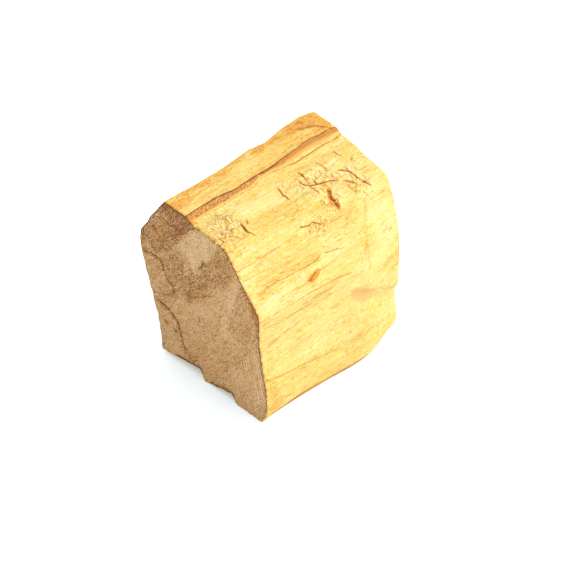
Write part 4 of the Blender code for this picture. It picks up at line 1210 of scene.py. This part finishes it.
class Nodes:
    """Short calls that add nodes to a material and return their outputs."""

    def __init__(self, name):
        self.material = bpy.data.materials.new(name)
        self.material.use_nodes = True
        self.tree = self.material.node_tree
        self.shader = self.tree.nodes["Principled BSDF"]
        self.place = self.add("TexCoord", {})["Object"]

    def link(self, source, target):
        if isinstance(source, (int, float, tuple)):
            target.default_value = source
        else:
            self.tree.links.new(source, target)

    def add(self, kind, inputs, **settings):
        """The outputs of a new node with these settings, whose inputs are linked or set."""
        node = self.tree.nodes.new("ShaderNode" + kind)
        for name, value in settings.items():
            setattr(node, name, value)
        for name, source in inputs.items():
            self.link(source, node.inputs[name])
        return node.outputs

    def stretched(self, across, along, seed):
        """Coordinates in which a feature of this size, in millimetres, is one unit across."""
        scale = (1 / (across * MM), 1 / (along * MM), 1 / (across * MM))
        shift = (seed * 3.7, seed * 2.3, seed * 5.1)
        return self.add("Mapping", {"Vector": self.place, "Location": shift, "Scale": scale})["Vector"]

    def turned(self, width, length, turn, seed):
        """The same for features on a sawn end, whose length leans by this many degrees from Z towards X."""
        inputs = {"Vector": self.place, "Location": (seed * 0.037, seed * 0.023, seed * 0.051),
                  "Rotation": (0.0, math.radians(turn), 0.0), "Scale": (width * MM, width * MM, length * MM)}
        return self.add("Mapping", inputs, vector_type="TEXTURE")["Vector"]

    def noise_from(self, vector, detail=2.0, rough=0.5):
        inputs = {"Vector": vector, "Scale": 1.0, "Detail": detail, "Roughness": rough}
        return self.add("TexNoise", inputs)["Fac"]

    def noise(self, across, along, seed, detail=2.0, rough=0.5):
        return self.noise_from(self.stretched(across, along, seed), detail, rough)

    def strokes(self, width, length, turn, seed):
        return self.noise_from(self.turned(width, length, turn, seed), 1.0)

    def math(self, operation, a, b=0.0):
        return self.add("Math", {0: a, 1: b}, operation=operation)[0]

    def times(self, *values):
        product = values[0]
        for value in values[1:]:
            product = self.math("MULTIPLY", product, value)
        return product

    def total(self, start, *terms):
        """The start plus each value times its weight."""
        for value, weight in terms:
            start = self.math("ADD", self.times(value, weight), start)
        return start

    def ramp(self, value, low, high, to_low=0.0, to_high=1.0):
        """The value from low to high, eased onto the range from to_low to to_high."""
        inputs = {"Value": value, "From Min": low, "From Max": high, "To Min": to_low, "To Max": to_high}
        return self.add("MapRange", inputs, interpolation_type="SMOOTHSTEP")["Result"]

    def palette(self, value, stops):
        """The colour at this value between the stops, each a value and a colour."""
        node = self.tree.nodes.new("ShaderNodeValToRGB")
        self.link(value, node.inputs["Fac"])
        elements = node.color_ramp.elements
        for element, (position, tint) in zip(elements, stops):
            element.position, element.color = position, tint
        for position, tint in stops[2:]:
            elements.new(position).color = tint
        return node.outputs["Color"]

    def blend(self, share, a, b, kind="MIX"):
        inputs = {"Factor": share, "A": a, "B": b}
        return self.add("Mix", inputs, data_type="RGBA", blend_type=kind)["Result"]

    def tinted(self, share, base, tint):
        return self.blend(share, base, tint, "MULTIPLY")

    def mark(self, name):
        return self.add("Attribute", {}, attribute_name=name)["Fac"]

    def veins(self, across, along, seed, width):
        """Thin lines that wander along the grain: where a slow noise passes its middle value."""
        off = self.math("ABSOLUTE", self.math("SUBTRACT", self.noise(across, along, seed), 0.5))
        return self.ramp(off, 0.0, width, 1.0, 0.0)

    def dots(self, across, along, seed, size, share):
        """Scattered dots, in this share of the cells."""
        cell = self.add("TexVoronoi", {"Vector": self.stretched(across, along, seed), "Scale": 1.0})
        dot = self.ramp(cell["Distance"], size * 0.5, size, 1.0, 0.0)
        return self.times(dot, self.ramp(cell["Color"], 1 - share, 1.02 - share))

    def waves(self, vector, direction, spacing, bend):
        """Even lines across this direction of the coordinates, in millimetres, slightly bent."""
        scale = math.pi / (10 * spacing)
        inputs = {"Vector": vector, "Scale": scale, "Distortion": bend, "Detail Scale": 1.0}
        return self.add("TexWave", inputs, bands_direction=direction)["Fac"]

    def lines(self, noise_value):
        """Where the surface lies within a line, whose edges the noise makes uneven."""
        gap = self.math("ABSOLUTE", self.mark("line_gap"))
        half = self.mark("line_half")
        inward = self.total(-LINE_EDGE / 2, (half, 1.0), (gap, -1.0), (noise_value, LINE_EDGE))
        return self.ramp(inward, 0.0, EDGE_SOFTNESS)

    def ragged(self, mark, noise_value, roughness, softness=0.3, edge=0.45):
        """A mark with a crisper edge, which the noise breaks up."""
        middle = self.total(-roughness / 2, (mark, 1.0), (noise_value, roughness))
        return self.ramp(middle, edge - softness / 2, edge + softness / 2)

    def bump(self, height, distance, below=None):
        """The surface raised by this height times this distance in millimetres, on top of any bump below."""
        inputs = {"Distance": distance * MM, "Height": height}
        if below is not None:
            inputs["Normal"] = below
        return self.add("Bump", inputs)["Normal"]

    def surface(self, base, rough, specular, normal):
        """Give the shader this colour, roughness, specular level and bump."""
        values = {"Base Color": base, "Roughness": rough, "Specular IOR Level": specular, "Normal": normal}
        for name, source in values.items():
            self.link(source, self.shader.inputs[name])


def colour(red, green, blue):
    return (red, green, blue, 1.0)


CREAM = colour(0.50, 0.45, 0.20)
YELLOW = colour(0.49, 0.375, 0.112)
GOLD = colour(0.48, 0.315, 0.07)
ORANGE = colour(0.47, 0.22, 0.035)
RUST = colour(0.36, 0.135, 0.02)
BAND = colour(0.47, 0.235, 0.055)
BROWN = colour(0.27, 0.1, 0.018)
# brown of stains, also painted as shade along the right face's foot and before the big torn wall
STAIN_AND_SHADE = colour(0.34, 0.14, 0.022)
# orange of the knot and the sawn ends, which is also painted as shade at torn walls and cracks
EMBER_AND_SHADE = colour(0.50, 0.18, 0.018)
DARK = colour(0.15, 0.04, 0.003)
# painted shade of the hollow scooped low on the right face
SCOOP_SHADE = colour(0.48, 0.25, 0.07)
LEMON_TINT = colour(1.0, 1.0, 0.78)
BLUSH_TINT = colour(1.0, 0.945, 1.0)


def split_wood():
    """Split and torn faces: streaks along the grain from cream to orange, with finer marks on them."""
    n = Nodes("palo_santo_split_wood")
    tone = n.noise(5.0, 26.0, 1, 3.0)
    streak = n.noise(0.7, 8.0, 2, 3.0, 0.6)
    fine = n.noise(0.24, 1.7, 3, 2.0, 0.65)
    grit = n.noise(0.22, 0.42, 4, 1.0)
    # the pale mark lightens the tone: paler wood, and the painted highlights past torn walls and cracks
    depth = n.total(-1.26, (tone, 0.65), (streak, 0.5), (fine, 1.05), (grit, 1.05), (n.mark("warm"), 0.34),
                    (n.mark("pale_and_highlight"), -0.32), (n.mark("chaff"), -0.08))
    base = n.palette(depth, ((0.06, CREAM), (0.34, YELLOW), (0.58, GOLD), (0.8, ORANGE), (1.0, RUST)))
    base = n.tinted(n.ramp(n.noise(0.7, 1.8, 13, 1.0), 0.45, 0.65), base, LEMON_TINT)
    base = n.tinted(n.ramp(n.noise(0.8, 2.2, 14, 1.0), 0.45, 0.65), base, BLUSH_TINT)
    base = small_grain(n, base)
    flecks = n.ramp(n.noise(0.85, 0.42, 10, 2.0, 0.6), 0.56, 0.62)
    flecks = n.times(flecks, n.ramp(n.mark("chaff"), 0.2, 0.7))
    base = n.blend(n.times(flecks, 0.75), base, RUST)
    # painted shade in the hollow scooped low on the right face
    base = n.blend(n.ramp(n.mark("scoop_shade"), 0.0, 1.0, 0.0, 0.85), base, SCOOP_SHADE)
    ribs = n.waves(n.stretched(1.0, 1.0, 11), "Y", 0.5, 2.5)
    ribs = n.total(-0.47, (ribs, 0.45), (n.noise(0.6, 0.3, 12, 1.0), 1.5))
    band = n.ragged(n.mark("band"), streak, 0.5)
    base = n.blend(n.times(band, n.ramp(n.noise(0.3, 3.0, 15, 1.0), 0.4, 0.6, 0.7, 1.0)), base, BAND)
    # stains, and the painted shade along the right face's foot and before the big torn wall
    base = n.blend(n.ramp(n.total(-0.15, (n.mark("stain_and_shade"), 1.0), (fine, 0.3)), 0.0, 0.8), base, STAIN_AND_SHADE)
    base = n.blend(n.times(band, n.ramp(n.mark("band"), 0.6, 0.9), n.ramp(ribs, 0.38, 0.58)), base, BROWN)
    # orange: the knot's and the ends' own, and painted shade at torn walls and cracks
    base = n.blend(n.ramp(n.total(-0.25, (n.mark("ember_and_shade"), 1.0), (grit, 0.5)), 0.1, 0.7), base, EMBER_AND_SHADE)
    dark = n.mark("line_dark")
    drawn = n.times(n.lines(grit), n.ramp(dark, 0.0, 1.0, 0.7, 0.95))
    base = n.blend(drawn, base, n.blend(dark, RUST, DARK))
    normal = n.bump(fine, 0.1, n.bump(streak, 0.2))
    normal = n.bump(flecks, 0.08, n.bump(n.times(n.mark("band"), ribs), 0.12, normal))
    n.surface(base, n.ramp(fine, 0.3, 0.7, 0.62, 0.85), 0.25, normal)
    return n.material


def small_grain(n, base):
    """The veins, dashes and dots of the split wood, over this colour."""
    veins = n.times(n.veins(1.7, 24.0, 5, 0.028), n.ramp(n.noise(3.0, 14.0, 6), 0.45, 0.6, 0.0, 0.6))
    base = n.blend(veins, base, RUST)
    crowd = n.ramp(n.noise(5.0, 9.0, 7), 0.35, 0.65, 0.25, 1.0)
    dashes = n.times(n.ramp(n.noise(0.24, 2.0, 8, 1.0), 0.65, 0.7, 0.0, 0.75), crowd)
    base = n.blend(dashes, base, BROWN)
    return n.blend(n.times(n.dots(1.5, 2.1, 9, 0.15, 0.5), 0.6), base, BROWN)


END_PALE = colour(0.485, 0.345, 0.20)
END_LIGHT = colour(0.44, 0.273, 0.125)
END_TAN = colour(0.362, 0.193, 0.07)
END_BROWN = colour(0.255, 0.107, 0.027)
END_DARK = colour(0.11, 0.038, 0.010)
END_GREY = colour(0.52, 0.37, 0.22)
OLIVE_TINT = colour(0.92, 1.0, 0.8)
ROSE_TINT = colour(1.0, 0.92, 1.0)
RUST_TINT = colour(0.70, 0.50, 0.30)
SAW_TURN = -15.6  # how far the saw's marks lean from Z towards X, in degrees


def sawn_wood():
    """Sawn ends: short fibre ends, pores, light and brown patches, and the saw's marks."""
    n = Nodes("palo_santo_sawn_wood")
    patch = n.noise(5.0, 5.0, 21, 3.0, 0.6)
    blotch = n.noise(1.1, 1.1, 22, 3.0, 0.65)
    speck = n.noise(0.38, 0.38, 23, 2.0, 0.6)
    grit = n.noise(0.17, 0.17, 24, 1.0)
    strokes = n.strokes(0.3, 2.2, 41.0, 28)
    brown = n.ragged(n.mark("brown"), blotch, 1.3, 0.9)
    light = n.ragged(n.mark("light"), blotch, 1.3, 0.9)
    texture = n.total(-2.2, (speck, 1.5), (grit, 2.3), (strokes, 0.6))
    coarse = n.math("MAXIMUM", n.mark("brown"), n.ramp(n.mark("light"), 0.6, 0.85))
    coarse = n.ramp(coarse, 0.0, 0.8, 0.95, 1.3)
    texture = n.times(texture, coarse, n.ramp(n.noise(3.0, 3.0, 32), 0.35, 0.65, 0.6, 1.3))
    depth = n.total(0.125, (patch, 0.3), (blotch, 0.35), (texture, 1.0), (brown, 0.28), (light, -0.24))
    base = n.palette(depth, ((0.05, END_PALE), (0.3, END_LIGHT), (0.5, END_TAN), (0.75, END_BROWN),
                             (1.0, END_DARK)))
    base = n.tinted(n.ramp(n.noise(0.8, 0.8, 30, 1.0), 0.45, 0.62), base, OLIVE_TINT)
    base = n.tinted(n.ramp(n.noise(1.0, 1.0, 31, 1.0), 0.45, 0.62), base, ROSE_TINT)
    pores = n.times(n.dots(0.9, 0.9, 25, 0.2, 0.6), n.ramp(n.noise(2.2, 2.2, 26), 0.4, 0.62))
    base = n.blend(n.times(pores, 0.7), base, END_DARK)
    saw = n.ramp(n.waves(n.turned(1.0, 1.0, SAW_TURN, 27), "X", SAW_SPACING, 1.0), 0.6, 0.95)
    saw = n.times(saw, n.ramp(n.strokes(0.7, 9.0, SAW_TURN, 29), 0.35, 0.6, 0.0, 0.85))
    base = n.blend(n.times(n.mark("sawn"), saw), base, END_GREY)
    base = n.tinted(n.times(n.ragged(n.mark("stain_and_shade"), speck, 0.9, 0.8), 0.9), base, RUST_TINT)
    base = n.blend(n.times(n.ragged(n.mark("ember_and_shade"), speck, 0.9, 0.6), 0.7), base, EMBER_AND_SHADE)
    dark = n.ramp(n.mark("line_dark"), 0.0, 1.0, 0.35, 0.95)
    base = n.blend(n.times(n.lines(speck), dark), base, END_DARK)
    normal = n.bump(grit, 0.05, n.bump(speck, 0.12))
    n.surface(base, n.ramp(speck, 0.3, 0.7, 0.75, 0.95), 0.2, normal)
    return n.material


def add_object(name, data):
    """A new object of the scene, which holds this mesh, lamp or camera."""
    made = bpy.data.objects.new(name, data)
    bpy.context.scene.collection.objects.link(made)
    return made


def add_chunk(rows, marks, split):
    """The chunk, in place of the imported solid."""
    mesh = chunk_mesh(rows, marks)
    mesh.shade_smooth()
    mesh.set_sharp_from_angle(angle=math.radians(SHARP_ANGLE))
    mesh.materials.append(split)
    mesh.materials.append(sawn_wood())
    chunk = add_object("split_block", mesh)
    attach(chunk, "root")
    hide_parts(NODE)


def add_fibre_tufts(rows, columns, split):
    fibres = add_object("torn_fibres", fibre_mesh(rows, columns))
    fibres.data.materials.append(split)
    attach(fibres, "root")


# Floor, light and camera. The floor's size and how near and far the camera sees are in metres, angles in
# degrees. The lamp shines from a direction, and the camera stands at a turn, rise and distance from its aim.
FLOOR_SIZE = 4.0
FLOOR_COLOUR = colour(0.84, 0.94, 1.0)
FLOOR_ROUGHNESS, FLOOR_GLOW = 0.9, 0.15
SENSOR_WIDTH, CAMERA_SEES = 36.0, (0.05, 20.0)
KEY_FROM, KEY_STRENGTH, KEY_SOFTNESS = (1.15, 1.5, 1.45), 3.75, 8.0
SKY_COLOUR, SKY_STRENGTH = colour(1.0, 0.98, 0.96), 1.36
CAMERA_TURN, CAMERA_RISE, CAMERA_DISTANCE, CAMERA_LENS = 46.8, 40.6, 1000.0, 280.7
AIM = (-13.19, 12.43, 0.296)


def add_floor():
    mesh = bpy.data.meshes.new("floor")
    half = FLOOR_SIZE / 2
    corners = [(-half, -half, 0), (half, -half, 0), (half, half, 0), (-half, half, 0)]
    mesh.from_pydata(corners, [], [(0, 1, 2, 3)])
    n = Nodes("pale_paper")
    n.shader.inputs["Base Color"].default_value = FLOOR_COLOUR
    n.shader.inputs["Roughness"].default_value = FLOOR_ROUGHNESS
    n.shader.inputs["Specular IOR Level"].default_value = 0.0
    n.shader.inputs["Emission Color"].default_value = FLOOR_COLOUR
    n.shader.inputs["Emission Strength"].default_value = FLOOR_GLOW
    mesh.materials.append(n.material)
    floor = add_object("floor", mesh)


def look_from(made, direction):
    """Turn a lamp or camera so that it looks from this direction."""
    made.rotation_mode = "QUATERNION"
    made.rotation_quaternion = direction.to_track_quat("Z", "Y")


def add_light():
    lamp = bpy.data.lights.new("key", "SUN")
    lamp.energy = KEY_STRENGTH
    lamp.angle = math.radians(KEY_SOFTNESS)
    look_from(add_object("key", lamp), Vector(KEY_FROM))
    world = bpy.data.worlds.new("studio")
    world.use_nodes = True
    sky = world.node_tree.nodes["Background"]
    sky.inputs["Color"].default_value = SKY_COLOUR
    sky.inputs["Strength"].default_value = SKY_STRENGTH
    bpy.context.scene.world = world


def add_camera():
    turn, rise = math.radians(CAMERA_TURN), math.radians(CAMERA_RISE)
    back = Vector((math.sin(turn) * math.cos(rise), -math.cos(turn) * math.cos(rise), math.sin(rise)))
    aim = Vector((AIM[0] + SHIFT, AIM[1], AIM[2]))
    data = bpy.data.cameras.new("camera")
    data.lens = CAMERA_LENS
    data.sensor_width = SENSOR_WIDTH
    data.clip_start, data.clip_end = CAMERA_SEES
    camera = add_object("camera", data)
    camera.location = (aim + back * CAMERA_DISTANCE) * MM
    look_from(camera, back)
    bpy.context.scene.camera = camera


rows, columns, marks = split_faces()
split = split_wood()
add_chunk(rows, marks, split)
add_fibre_tufts(rows, columns, split)
add_floor()
add_light()
add_camera()
bpy.context.scene.view_settings.view_transform = "Standard"
bpy.context.view_layer.update()
